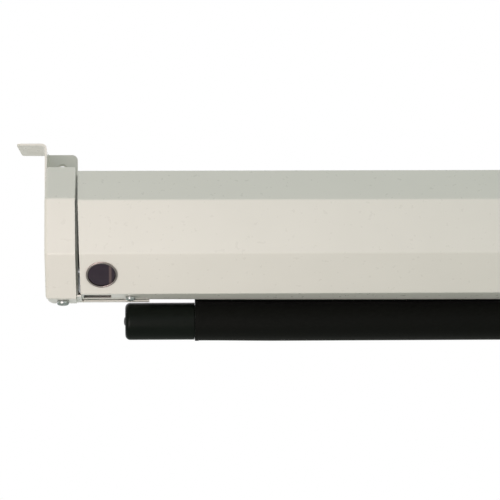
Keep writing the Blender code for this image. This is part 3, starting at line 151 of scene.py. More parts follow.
# Roller, window and bar; the access slot's depth and place are the photograph's
ROLLER_D = CASE_SIZE / 2 - 5.1 * MM
ROLLER_H = CASE_SIZE / 2 + 0.75 * MM
ROLL_INNER_R = 25.3 * MM
ROLL_OUTER_R = 27.9 * MM
ACCESS_U = 3.4 * MM
ACCESS_LENGTH = 19 * MM
ACCESS_D = ROLLER_D - 8.5 * MM
ACCESS_DEPTH = 16.0 * MM
WINDOW_U = 16.1 * MM
WINDOW_DROP = 0.25 * MM
WINDOW_D = CHAMFER / 2 + WINDOW_DROP * math.sqrt(0.5)
WINDOW_H = CHAMFER / 2 - WINDOW_DROP * math.sqrt(0.5)
WINDOW_RIM_R = 10.85 * MM
WINDOW_BARREL_R = 10.15 * MM
LENS_R = 9.35 * MM
LENS_BACK = -1.6 * MM
# place and width of the strip of painted light on the lens, which stands for the lit inside seen through it
LENS_PAINTED_LIGHT_U = WINDOW_U + 5.9 * MM
LENS_PAINTED_LIGHT_WIDTH = 1.3 * MM
BARREL_LENGTH = 7.5 * MM
MOTOR_STUD_HOLE_R = 6.3 * MM
GROMMET_HOLE_R = 4.2 * MM
IDLER_BUSH_HOLE_R = 8.4 * MM
GROMMET_D = CASE_SIZE - CHAMFER / 2 - 8.2 * MM
GROMMET_H = CASE_SIZE - CHAMFER / 2 - 6.2 * MM
FABRIC_D = ROLLER_D + ROLL_OUTER_R + GAP + FABRIC_THICK / 2
BAR_R = 12.7 * MM
HEM_INNER_R = BAR_R + 0.7 * MM
HEM_OUTER_R = HEM_INNER_R + FABRIC_THICK
BAR_H = -0.3 * MM - HEM_OUTER_R
HEM_SAG = 0.5 * MM
HEM_SAG_LENGTH = 60 * MM
HEM_BAND = 2.4 * MM
HEM_BAND_RISE = 0.25 * MM
CAP_R = 13.1 * MM
CAP_START_U = 31.9 * MM
CAP_ROUND = 3.6 * MM
CAP_WALL = 2.2 * MM
SPIGOT_LENGTH = 28 * MM
PIP_R = 3.0 * MM
PIP_HEIGHT = 0.9 * MM
BAR_DROP = 1200 * MM
FABRIC_BLEND = 20.5 * MM  # this much below the roller's axis is stretched over the whole drop
FABRIC_ROWS = 48
FABRIC_COLUMNS = 12
SIDE_BORDER = 40 * MM
TOP_BORDER = 75 * MM
LOW_BORDER = 60 * MM
TURN_STEPS = 48
WOUND_SHARE = 0.94  # of the cloth's thickness, so that the turns do not touch

# Floor, light and camera; colours are linear, and those of the surroundings carry their strength
FLOOR_H = -1.5
FLOOR_HALF = 6.0
FLOOR_GLOW = (0.53, 0.49, 0.54)  # for the camera only: a pale floor, with no more light on the object
AMBIENT = (0.220, 0.250, 0.100)
SKY = (0.193, 0.226, 0.362)
GLOW = (0.518, 0.506, 0.640)
GLOW_AIM = (0.0, -0.9987, -0.0500)
BACKDROP_START, BACKDROP_END = -0.5, 0.35  # the white backdrop's share in reflections, along Y
LAMPS = (  # name, place, target, size, watts, colour
    ("left_soft", (-1.10, -0.70, -0.36), (-0.75, -0.05, -0.07), (0.4, 0.5), 3.22, (1.0, 0.850, 0.845)),
    ("right_soft", (0.85, -1.3, -0.1), (0.60, -0.05, -0.07), (1.0, 0.6), 2.3, (1.0, 0.97, 1.0)),
    ("rear_soft", (0.0, 1.4, 0.35), (0.0, 0.0, -0.07), (2.4, 0.8), 4.0, (0.92, 0.86, 1.0)))
CAMERA_PLACE = (-0.79003, -1.91565, -0.34912)
CAMERA_TURN = tuple(math.radians(angle) for angle in (90 + 8.307, 0.542, -2.325))
CAMERA_LENS = 194.4


# Frame

def at(x, d, h):
    """World point of a place in the case's section."""
    return Vector((x, d - WALL_D, h - CEILING_H))


def end_x(side, u):
    """World x at a distance u inward from an end of the case."""
    return side * (CASE_LENGTH / 2 - u)


# Materials

WAVE_SCALE = 20  # radians that the wave texture turns in one unit, at scale 1
MIX_SHARE, MIX_FIRST, MIX_SECOND, MIX_RESULT = 0, 6, 7, 2  # the Mix node's sockets when it mixes colours


def add_node(tree, kind, inputs, **settings):
    """Outputs of a new shader node; inputs give each socket a value or another node's output."""
    made = tree.nodes.new("ShaderNode" + kind)
    for key, value in settings.items():
        setattr(made, key, value)
    for key, value in inputs.items():
        if isinstance(value, bpy.types.NodeSocket):
            tree.links.new(value, made.inputs[key])
        else:
            made.inputs[key].default_value = value
    return made.outputs


class Shader:
    """A Principled material under construction, with procedural inputs in object coordinates."""

    def __init__(self, name, colour, roughness, metallic=0.0, specular=0.5):
        self.material = bpy.data.materials.new(name)
        self.material.use_nodes = True
        self.tree = self.material.node_tree
        self.inputs = self.tree.nodes["Principled BSDF"].inputs
        self.inputs["Base Color"].default_value = (*colour, 1.0)
        self.inputs["Roughness"].default_value = roughness
        self.inputs["Metallic"].default_value = metallic
        self.inputs["Specular IOR Level"].default_value = specular
        self.material.diffuse_color = (*colour, 1.0)
        self.place = self.node("TexCoord", {})["Object"]

    def node(self, kind, inputs, **settings):
        return add_node(self.tree, kind, inputs, **settings)

    def link(self, source, name):
        self.tree.links.new(source, self.inputs[name])

    def noise(self, size, detail=2.0, stretch=(1, 1, 1)):
        """Noise with features of about the given size in metres."""
        place = self.node("Mapping", {"Vector": self.place, "Scale": stretch})["Vector"]
        return self.node("TexNoise", {"Scale": 1.0 / size, "Detail": detail, "Vector": place})["Fac"]

    def wave(self, period, direction):
        """Sine bands across one axis."""
        scale = 2 * math.pi / period / WAVE_SCALE
        return self.node("TexWave", {"Scale": scale, "Distortion": 0.0, "Vector": self.place},
                         wave_type="BANDS", bands_direction=direction)["Fac"]

    def remap(self, value, low, high, from_low=0.3, from_high=0.7):
        return self.node("MapRange", {"Value": value, "From Min": from_low, "From Max": from_high,
                                      "To Min": low, "To Max": high})["Result"]

    def math(self, operation, first, second):
        return self.node("Math", {0: first, 1: second}, operation=operation)["Value"]

    def vary_colour(self, value, dark, light, from_low=0.3, from_high=0.7):
        """Base colour between two colours, as value goes over its range."""
        share = self.remap(value, 0.0, 1.0, from_low, from_high)
        mixed = self.node("Mix", {MIX_SHARE: share, MIX_FIRST: (*dark, 1.0), MIX_SECOND: (*light, 1.0)},
                          data_type="RGBA")
        self.link(mixed[MIX_RESULT], "Base Color")

    def vary_roughness(self, value, low, high):
        self.link(self.remap(value, low, high), "Roughness")

    def bump(self, value, height):
        """Bump of the given height in metres."""
        self.link(self.node("Bump", {"Distance": height, "Height": value})["Normal"], "Normal")


def scaled(colour, factor):
    return tuple(channel * factor for channel in colour)


def powder_coat():
    coat = Shader("powder_coat", (0.80, 0.78, 0.725), 0.3, specular=0.5)
    coat.vary_colour(coat.noise(35 * MM, 3.0), (0.795, 0.776, 0.722), (0.812, 0.792, 0.738))
    coat.vary_roughness(coat.noise(4 * MM), 0.27, 0.34)
    peel = coat.math("ADD", coat.noise(1.4 * MM, 1.0), coat.math("MULTIPLY", coat.noise(0.35 * MM), 0.35))
    coat.bump(peel, 0.018 * MM)
    return coat.material


def metal(name, colour, roughness, grain=(1, 1, 1), spread=0.08):
    """Bare or plated metal with fine grain that may run along one axis."""
    size = 1.2 * MM
    made = Shader(name, colour, roughness, metallic=1.0)
    made.vary_colour(made.noise(size * 4, 3.0, grain), scaled(colour, 0.9), scaled(colour, 1.06))
    made.vary_roughness(made.noise(size, 2.0, grain), roughness - spread, roughness + spread)
    made.bump(made.noise(size / 2, 2.0, grain), 0.006 * MM)
    return made.material


def plastic(name, colour, roughness, specular=0.5, height=0.012 * MM):
    """Moulded plastic with a fine spark-eroded grain."""
    made = Shader(name, colour, roughness, specular=specular)
    made.vary_colour(made.noise(9 * MM, 2.0), scaled(colour, 0.93), scaled(colour, 1.07))
    made.vary_roughness(made.noise(1.5 * MM), roughness - 0.05, roughness + 0.05)
    made.bump(made.noise(0.45 * MM, 3.0), height)
    return made.material


def woven(name, colour, roughness, specular, period, height, lift=1.15, sheen=0.0):
    """Coated fabric: the coating follows the threads of a fine plain weave."""
    made = Shader(name, colour, roughness, specular=specular)
    across = made.wave(period, "X")
    along = made.wave(period, "Z")
    weave = made.math("MAXIMUM", across, along)
    tone = made.math("ADD", made.math("MULTIPLY", weave, 0.5), made.math("MULTIPLY", made.noise(6 * MM), 0.5))
    made.vary_colour(tone, scaled(colour, 0.88), scaled(colour, lift))
    made.vary_roughness(made.noise(2.5 * MM), roughness - 0.06, roughness + 0.06)
    made.bump(weave, height)
    made.inputs["Sheen Weight"].default_value = sheen
    made.inputs["Sheen Roughness"].default_value = 0.6
    return made.material


def board_material():
    """Green circuit board with paler tracks under the solder mask."""
    made = Shader("circuit_board", (0.03, 0.16, 0.06), 0.35)
    tracks = made.node("TexBrick", {
        "Vector": made.place, "Scale": 1.0, "Color1": (0, 0, 0, 1), "Color2": (0, 0, 0, 1),
        "Mortar": (1, 1, 1, 1), "Mortar Size": 0.14 * MM, "Brick Width": 3.1 * MM,
        "Row Height": 1.3 * MM})["Fac"]
    made.vary_colour(tracks, (0.022, 0.12, 0.045), (0.06, 0.24, 0.10), 0.2, 0.8)
    made.bump(tracks, 0.03 * MM)
    return made.material


def lens_material():
    """Smoked infrared lens with a pale upright strip of painted light near its right edge, standing for the
    lit inside seen through it.
    """
    made = Shader("ir_lens", (0.030, 0.019, 0.030), 0.12, specular=0.4)
    across = made.node("SeparateXYZ", {"Vector": made.place})["X"]
    beside = made.math("ABSOLUTE", made.math("SUBTRACT", across, end_x(LEFT, LENS_PAINTED_LIGHT_U)), 0.0)
    # painted light: a pale strip standing for the lit inside seen through the lens, mixed with random tone
    strip = made.remap(beside, 1.0, 0.0, LENS_PAINTED_LIGHT_WIDTH / 4, LENS_PAINTED_LIGHT_WIDTH)
    tone = made.math("MAXIMUM", strip, made.math("MULTIPLY", made.noise(5 * MM, 2.0), 0.1))
    made.vary_colour(tone, (0.024, 0.014, 0.027), (0.125, 0.085, 0.086), 0.0, 1.0)
    made.vary_roughness(made.noise(2 * MM), 0.08, 0.16)
    made.bump(made.noise(3 * MM), 0.01 * MM)
    made.inputs["Coat Weight"].default_value = 0.2
    made.inputs["Coat Roughness"].default_value = 0.08
    return made.material


MATERIALS = {
    "powder_coat": powder_coat(),
    "zinc": metal("zinc", (0.50, 0.53, 0.53), 0.3, spread=0.05),
    "bright_steel": metal("bright_steel", (0.52, 0.53, 0.54), 0.34, grain=(0.15, 1, 1)),
    "aluminium": metal("aluminium", (0.66, 0.66, 0.67), 0.38, grain=(0.08, 1, 1)),
    "black_plastic": plastic("black_plastic", (0.0050, 0.0072, 0.0054), 0.33, specular=0.1),
    "grey_plastic": plastic("grey_plastic", (0.26, 0.27, 0.28), 0.5),
    "white_plastic": plastic("white_plastic", (0.76, 0.76, 0.74), 0.42),
    "red_plastic": plastic("red_plastic", (0.52, 0.04, 0.035), 0.42),
    "rim_metal": metal("rim_metal", (0.42, 0.36, 0.35), 0.34, spread=0.05),
    "ir_lens": lens_material(),
    "circuit_board": board_material(),
    "black_fabric": woven("black_fabric", (0.0024, 0.0028, 0.0020), 0.55, 0.08, 0.55 * MM, 0.035 * MM,
                          sheen=0.033),
    "white_fabric": woven("white_fabric", (0.80, 0.80, 0.79), 0.85, 0.3, 0.45 * MM, 0.02 * MM, lift=1.02),
    "rubber": plastic("rubber", (0.022, 0.022, 0.022), 0.7, specular=0.3, height=0.02 * MM),
}


# Drawing in two dimensions

def rounded(points, radius, closed=False, steps=8):
    """Replace the corners of a path by arcs."""
    count = len(points)
    result = []
    for index, corner in enumerate(points):
        here = Vector(corner)
        if not closed and index in (0, count - 1):
            result.append(here)
            continue
        to_last = (Vector(points[index - 1]) - here).normalized()
        to_next = (Vector(points[(index + 1) % count]) - here).normalized()
        half_angle = to_last.angle(to_next) / 2
        centre = here + (to_last + to_next).normalized() * radius / math.sin(half_angle)
        start = here + to_last * radius / math.tan(half_angle) - centre
        turn = math.copysign(math.pi - 2 * half_angle, to_next.x * to_last.y - to_next.y * to_last.x)
        for step in range(steps + 1):
            result.append(centre + Matrix.Rotation(turn * step / steps, 2) @ start)
    return result


def offset_path(path, distance):
    """Shift an open path sideways, with mitred corners."""
    result = []
    last = len(path) - 1
    for index, point in enumerate(path):
        before = path[max(index - 1, 0)]
        after = path[min(index + 1, last)]
        along_in = (point - before) if index > 0 else (after - point)
        along_out = (after - point) if index < last else (point - before)
        normal_in = Vector((-along_in.y, along_in.x)).normalized()
        normal_out = Vector((-along_out.y, along_out.x)).normalized()
        mitre = (normal_in + normal_out).normalized()
        result.append(point + mitre * distance / mitre.dot(normal_in))
    return result


def sheet_outline(points, radius, thickness):
    """Closed outline of a folded sheet; the thickness lies to the left of the path."""
    path = rounded(points, radius)
    return path + offset_path(path, thickness)[::-1]


def box_outline(a_low, b_low, a_high, b_high):
    return [Vector(corner) for corner in ((a_low, b_low), (a_high, b_low), (a_high, b_high), (a_low, b_high))]


def circle_outline(centre, radius, count):
    turn = 2 * math.pi / count
    return [Vector(centre) + Vector((math.cos(turn * i), math.sin(turn * i))) * radius
            for i in range(count)]


def raised(outline, level):
    """A flat outline's points in space, at a level."""
    return [Vector((p.x, p.y, level)) for p in outline]


def eight_sided(front, rear, low, high, flat_low, flat_high):
    """Outline with four flats and 45 degree corners; starts at the lower front corner."""
    below = flat_low - low
    above = high - flat_high
    return [Vector(p) for p in ((front + below, low), (front, flat_low), (front, flat_high),
                                (front + above, high), (rear - above, high), (rear, flat_high),
                                (rear, flat_low), (rear - below, low))]


def inset(outline, distance):
    """Shrink a closed outline by the same distance on every side."""
    result = []
    for i, corner in enumerate(outline):
        along_in = (corner - outline[i - 1]).normalized()
        along_out = (outline[(i + 1) % len(outline)] - corner).normalized()
        normal = Vector((along_in.y, -along_in.x))
        mitre = (normal + Vector((along_out.y, -along_out.x))).normalized()
        result.append(corner + mitre * distance / mitre.dot(normal))
    return result


# Meshes

WELD = 1e-6
FLAT_ANGLE = math.radians(0.2)


def finished(bm):
    """Turn the faces outward and make a mesh."""
    bmesh.ops.recalc_face_normals(bm, faces=bm.faces)
    mesh = bpy.data.meshes.new("mesh")
    bm.to_mesh(mesh)
    bm.free()
    return mesh


def loft(rings):
    """Mesh through rings of equal point counts, closed by its first and last ring."""
    bm = bmesh.new()
    loops = [[bm.verts.new(point) for point in ring] for ring in rings]
    for first, second in zip(loops, loops[1:]):
        for i in range(len(first)):
            j = (i + 1) % len(first)
            bm.faces.new((first[i], first[j], second[j], second[i]))
    bm.faces.new(loops[0])
    bm.faces.new(loops[-1])
    return finished(bm)


def prism_x(outline, x_a, x_b):
    """Extrude a (d, h) outline along X."""
    return loft([[at(x, p.x, p.y) for p in outline] for x in sorted((x_a, x_b))])


def prism_h(outline, h_low, h_high):
    """Extrude an (x, d) outline upward."""
    return loft([[at(p.x, p.y, h) for p in outline] for h in (h_low, h_high)])


def prism_d(outline, d_low, d_high):
    """Extrude an (x, h) outline backward."""
    return loft([[at(p.x, d, p.y) for p in outline] for d in (d_low, d_high)])


def block(x_a, x_b, d_low, d_high, h_low, h_high):
    return prism_x(box_outline(d_low, h_low, d_high, h_high), x_a, x_b)


def lathe(profile, centre, axis, count=64, closed=True):
    """Spin a profile of (distance along the axis, radius) round an axis through centre."""
    turn = Vector((1, 0, 0)).rotation_difference(Vector(axis))
    bm = bmesh.new()
    rings = []
    for along, radius in profile:
        steps = count if radius > 1e-7 else 1
        ring = []
        for i in range(steps):
            angle = 2 * math.pi * i / count
            arm = Vector((along, radius * math.cos(angle), radius * math.sin(angle)))
            ring.append(bm.verts.new(centre + turn @ arm))
        rings.append(ring)
    pairs = list(zip(rings, rings[1:]))
    if closed:
        pairs.append((rings[-1], rings[0]))
    for first, second in pairs:
        for i in range(count):
            j = (i + 1) % count
            corners = [first[i % len(first)], first[j % len(first)],
                       second[j % len(second)], second[i % len(second)]]
            corners = list(dict.fromkeys(corners))
            if len(corners) > 2:
                bm.faces.new(corners)
    return finished(bm)


def combine(mesh, tools, operation="DIFFERENCE"):
    """Apply a Boolean with each tool in turn and give the resulting mesh."""
    body = bpy.data.objects.new("body", mesh)
    bpy.context.scene.collection.objects.link(body)
    helpers = []
    for tool in tools:
        helper = bpy.data.objects.new("cutter", tool)
        bpy.context.scene.collection.objects.link(helper)
        cut = body.modifiers.new("combine", "BOOLEAN")
        cut.operation = operation
        cut.object = helper
        helpers.append(helper)
    bpy.context.view_layer.update()
    evaluated = body.evaluated_get(bpy.context.evaluated_depsgraph_get())
    result = bpy.data.meshes.new_from_object(evaluated)
    for extra in [body] + helpers:
        bpy.data.objects.remove(extra)
    bm = bmesh.new()
    bm.from_mesh(result)
    bmesh.ops.remove_doubles(bm, verts=bm.verts, dist=WELD)
    bmesh.ops.dissolve_degenerate(bm, edges=bm.edges, dist=WELD)
    bmesh.ops.dissolve_limit(bm, angle_limit=FLAT_ANGLE, verts=bm.verts, edges=bm.edges)
    bm.to_mesh(result)
    bm.free()
    return result


def mirrored(mesh):
    """Copy of a mesh for the other end of the screen."""
    copy = mesh.copy()
    copy.transform(Matrix.Scale(-1, 4, Vector((1, 0, 0))))
    copy.flip_normals()
    return copy


def piece(name, mesh, slot, body, node, crease=32):
    """A finished piece that rides on a body and stands for the CAD node named."""
    mesh.name = name
    mesh.materials.clear()
    mesh.materials.append(MATERIALS[slot])
    mesh.shade_smooth()
    mesh.set_sharp_from_angle(angle=math.radians(crease))
    made = bpy.data.objects.new(name, mesh)
    bpy.context.scene.collection.objects.link(made)
    even = made.modifiers.new("even_shading", "WEIGHTED_NORMAL")
    even.keep_sharp = True
    even.weight = 90
    if body:
        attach(made, body)
    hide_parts(node)
    return made


def corner_cutter(corner, first_edge, second_edge, radius):
    """Outline that rounds off a sheet's corner; both edge directions point away from the corner."""
    corner = Vector(corner)
    first = Vector(first_edge).normalized()
    second = Vector(second_edge).normalized()
    reach = radius / math.tan(first.angle(second) / 2)
    extra = radius / 4
    ends = [corner + first * 2 * reach, corner, corner + second * 2 * reach]
    arc = rounded(ends, radius, steps=10)[1:-1]
    return ([corner - (first + second) * extra, corner + first * reach - second * extra] + arc
            + [corner + second * reach - first * extra])


# Case

def screw_hole(side, u, d, h, screw):
    """Upright cutter for a screw's clearance hole."""
    circle = circle_outline((end_x(side, u), d), screw[0] / 2 + GAP, 32)
    return prism_h(circle, h - THROUGH, h + THROUGH)


def window_frame():
    """Centre of the window on the lower front facet, and the facet's outward direction."""
    return at(end_x(LEFT, WINDOW_U), WINDOW_D, WINDOW_H), Vector((0, -1, -1)).normalized()


def case_outline():
    return eight_sided(0, CASE_SIZE, 0, CASE_SIZE, CHAMFER, CASE_SIZE - CHAMFER)


def make_case():
    corners = case_outline()
    path = [(LIP_END_D, LIP_HEM), (LIP_END_D, 0)] + corners[:7]
    path.append((CASE_SIZE - REAR_RETURN, corners[6].y))
    shell = prism_x(sheet_outline(path[::-1], CASE_FOLD_R, CASE_WALL), -CASE_LENGTH / 2, CASE_LENGTH / 2)
    slot = box_outline(end_x(LEFT, ACCESS_U), ACCESS_D, end_x(LEFT, ACCESS_U + ACCESS_LENGTH),
                       ACCESS_D + ACCESS_DEPTH)
    edge = 0.08 * MM
    corner_r = 0.8 * MM
    flare = 1.2 * MM
    levels = []
    for grow, h in ((0, -2 * CASE_WALL), (0, edge), (flare, edge + flare)):
        outline = rounded(inset(slot[::-1], -grow)[::-1], corner_r + grow, closed=True)
        levels.append([at(p.x, p.y, h) for p in outline])
    cutters = [loft(levels)]
    centre, outward = window_frame()
    through = 3 * MM
    bore_r = WINDOW_BARREL_R + GAP
    cutters.append(lathe([(-through, 0), (-through, bore_r), (through, bore_r), (through, 0)],
                         centre, outward, closed=False))
    for side, _ in SIDES:
        cutters.append(screw_hole(side, LIP_SCREW_U, LIP_SCREW_D, 0, LIP_SCREW))
        cutters.append(screw_hole(side, TOP_SCREW_U, CASE_SIZE / 2, CASE_SIZE, TOP_SCREW))
    skin = combine(shell, cutters)
    droop_lip(skin)
    piece("case_skin", skin, "powder_coat", "screen_frame", "case_shell")


def make_clip():
    """Angle inside the left end that ties the lip to the end plate, with a window over the access slot."""
    low_h = CASE_WALL + GAP
    rear_d = LIP_END_D - CASE_FOLD_R - GAP
    sheet = 1.2 * MM
    bend_r = 1.6 * MM
    length = 46 * MM
    height = 12 * MM
    margin = 1.5 * MM
    outer_margin = 0.7 * MM
    path = [(end_x(LEFT, length), low_h), (end_x(LEFT, 0), low_h), (end_x(LEFT, 0), low_h + height)]
    body = prism_d(sheet_outline(path[::-1], bend_r, sheet), TONGUE_FRONT_D, rear_d)
    window = block(end_x(LEFT, ACCESS_U - outer_margin), end_x(LEFT, ACCESS_U + ACCESS_LENGTH + margin),
                   ACCESS_D - margin, rear_d + sheet, -sheet, low_h + 2 * sheet)
    hole = screw_hole(LEFT, LIP_SCREW_U, LIP_SCREW_D, 0, LIP_SCREW)
    piece("clip_left", combine(body, [window, hole]), "bright_steel", "screen_frame", "inner_clip_left")


def droop_lip(mesh):
    """Let the lip hang a little between its clips, and skew the cut ends a little out of square."""
    bm = bmesh.new()
    bm.from_mesh(mesh)
    for x in [end_x(side, u * MM) for side, _ in SIDES for u in DROOP_STATIONS]:
        bmesh.ops.bisect_plane(bm, geom=bm.verts[:] + bm.edges[:] + bm.faces[:], plane_co=(x, 0, 0),
                               plane_no=(1, 0, 0))
    hinge_d = CHAMFER + 1 * MM
    lip_low_h = 8 * MM
    lip_rear_d = LIP_END_D + 2 * MM
    for vertex in bm.verts:
        d = vertex.co.y + WALL_D
        h = vertex.co.z + CEILING_H
        if abs(vertex.co.x) > CASE_LENGTH / 2 - 0.1 * MM:
            inward = END_SKEW * (SQUARE_AT - h / CASE_SIZE)
            vertex.co.x -= inward * (1 if vertex.co.x > 0 else -1)
        if h < lip_low_h and d < lip_rear_d:
            across = min(max((d - hinge_d) / (LIP_END_D - hinge_d), 0.0), 1.0)
            inward = max(CASE_LENGTH / 2 - abs(vertex.co.x) - LIP_DROOP_START, 0.0)
            along = math.sin(math.pi / 2 * min(inward / LIP_DROOP_LENGTH, 1.0))
            vertex.co.z -= LIP_DROOP * across * along
    bm.to_mesh(mesh)
    bm.free()


# End brackets

def bracket_outline():
    return eight_sided(-BRACKET_FRONT, WALL_D, -BRACKET_BELOW, CASE_SIZE + BRACKET_ABOVE,
                       CHAMFER - BRACKET_FLAT_BELOW, CASE_SIZE - CHAMFER + BRACKET_FLAT_ABOVE)


def bracket_tray():
    """Side plate with its front wrap, bent from one sheet."""
    def ring(u, depth):
        fold_r = max(BRACKET_FOLD_R - depth, GAP)
        outline = rounded(inset(bracket_outline(), depth), fold_r, closed=True, steps=6)
        return [at(end_x(LEFT, u), p.x, p.y) for p in outline]

    def bend(radius):
        arc = []
        for step in range(9):
            angle = math.pi / 2 * step / 8
            u = BRACKET_OUTER_U + BRACKET_BEND_R - radius * math.cos(angle)
            arc.append(ring(u, BRACKET_BEND_R - radius * math.sin(angle)))
        return arc

    edge = [ring(BRACKET_EDGE_U, depth) for depth in (0, BRACKET_SHEET)]
    for points in edge:
        for point in points:
            point.x -= BRACKET_EDGE_SKEW * (point.z - at(0, 0, 0).z) / CASE_SIZE
    return loft(bend(BRACKET_BEND_R) + edge + bend(BRACKET_BEND_R - BRACKET_SHEET)[::-1])


def bracket_trims():
    """Cutters that open the tray above the case and behind it, and shape its lower end."""
    inner_x = end_x(LEFT, BRACKET_OUTER_U + BRACKET_SHEET)
    beyond_x = end_x(LEFT, 0)
    beyond_d = WALL_D + BRACKET_SHEET
    below_h = -2 * BRACKET_BELOW
    corners = bracket_outline()
    rise = SIDE_PLATE_SLOPE * (beyond_d - NOTCH_D)
    slope = [Vector(corner) for corner in ((NOTCH_D, -BRACKET_BELOW), (NOTCH_D, below_h), (beyond_d, below_h),
                                           (beyond_d, rise - BRACKET_BELOW))]
    notch = []
    for share, level in ((0, below_h), (1, -BRACKET_BELOW)):
        notch.append([at(end_x(LEFT, u * MM), d * MM, level + share * SIDE_PLATE_SLOPE * (d * MM - NOTCH_D))
                      for u, d in NOTCH])
    return [prism_x(slope, end_x(LEFT, BRACKET_OUTER_U - BRACKET_SHEET),
                    end_x(LEFT, BRACKET_OUTER_U + SLOPE_WIDTH)),
            block(inner_x, beyond_x, corners[3].x - BRACKET_FOLD_R / 4, beyond_d,
                  corners[5].y, 2 * CASE_SIZE),
            block(inner_x, beyond_x, BRACKET_LIP_D, beyond_d, -CASE_SIZE, corners[6].y),
            loft(notch)]


def bracket_ear():
    """Upper part of the side plate with the wall plate, bent from one sheet."""
    outer_x = end_x(LEFT, BRACKET_OUTER_U - EAR_OUT)
    edge_x = end_x(LEFT, EAR_EDGE_U)
    rear_d = WALL_D - JOIN_STEP
    outline = sheet_outline([(edge_x, rear_d), (outer_x, rear_d), (outer_x, TAB_FRONT_D)],
                            BRACKET_BEND_R, BRACKET_SHEET)
    away = 4 * BRACKET_SHEET
    relief = block(outer_x - away, outer_x + away, TAB_FRONT_D - away,
                   TAB_FRONT_D + TAB_DEPTH + 1 * MM, CEILING_H - TAB_BEND_R, CEILING_H + away)
    round_off = prism_d(corner_cutter((edge_x, CEILING_H), (LEFT, 0), (0, -1), PLATE_CORNER_R),
                        WALL_D - 2 * BRACKET_SHEET, WALL_D + BRACKET_SHEET)
    return combine(prism_h(outline, CASE_SIZE / 2, CEILING_H), [relief, round_off])


def bracket_tab():
    """Ceiling tab, bent outward from the side plate and tapered."""
    inner_x = end_x(LEFT, BRACKET_OUTER_U - EAR_OUT + BRACKET_SHEET + JOIN_STEP)
    front_tip = Vector((end_x(LEFT, BRACKET_OUTER_U - TAB_LENGTH), TAB_FRONT_D))
    rear_tip = Vector((end_x(LEFT, BRACKET_OUTER_U - TAB_LENGTH + TAB_TAPER), TAB_FRONT_D + TAB_DEPTH))
    rings = []
    for tip in (front_tip, rear_tip):
        outline = sheet_outline([(inner_x, CASE_SIZE), (inner_x, CEILING_H), (tip.x, CEILING_H)],
                                TAB_BEND_R, BRACKET_SHEET)
        rings.append([at(p.x, tip.y, p.y) for p in outline])
    levels = (CEILING_H - 2 * BRACKET_SHEET, CEILING_H + BRACKET_SHEET)
    free_edge = rear_tip - front_tip
    return combine(loft(rings), [
        prism_h(corner_cutter(front_tip, (1, 0), free_edge, TAB_CORNER_R), *levels),
        prism_h(corner_cutter(rear_tip, (1, 0), -free_edge, TAB_CORNER_R), *levels)])


def bracket_gusset():
    """Pressed stiffener in the corner between side plate and wall plate."""
    corner_x = end_x(LEFT, BRACKET_OUTER_U - EAR_OUT + BRACKET_SHEET / 2)
    corner_d = WALL_D - BRACKET_SHEET / 2
    base_h = CEILING_H - GUSSET_DROP - GUSSET_HEIGHT
    reach = GUSSET_REACH + BRACKET_SHEET / 2
    return loft([[at(corner_x + a * share, corner_d - b * share, base_h + rise * GUSSET_HEIGHT)
                  for a, b in ((0, 0), (reach, 0), (0, reach))] for share, rise in GUSSET_SHAPE])


def make_brackets():
    tray = combine(bracket_tray(), bracket_trims())
    body = combine(tray, [bracket_ear(), bracket_tab(), bracket_gusset()], "UNION")
    holes = [screw_hole(LEFT, BRACKET_SCREW_U, TONGUE_MIDDLE_D, -BRACKET_BELOW, BRACKET_SCREW)]
    seat = BRACKET_SHEET - COUNTERSINK_DEPTH
    cutter = [(-BRACKET_SHEET, 0), (2 * BRACKET_SHEET, 0), (2 * BRACKET_SHEET, COUNTERSINK_R),
              (BRACKET_SHEET, COUNTERSINK_R), (seat, WALL_HOLE_R), (-BRACKET_SHEET, WALL_HOLE_R)]
    for hole_h in WALL_HOLES_H:
        holes.append(lathe(cutter, at(end_x(LEFT, WALL_HOLE_U), WALL_D, hole_h), (0, -1, 0), 48))
    left = combine(body, holes)
    for word, mesh in (("left", left), ("right", mirrored(left))):
        piece("bracket_" + word, mesh, "powder_coat", "screen_frame", "end_bracket_" + word)


# End plates

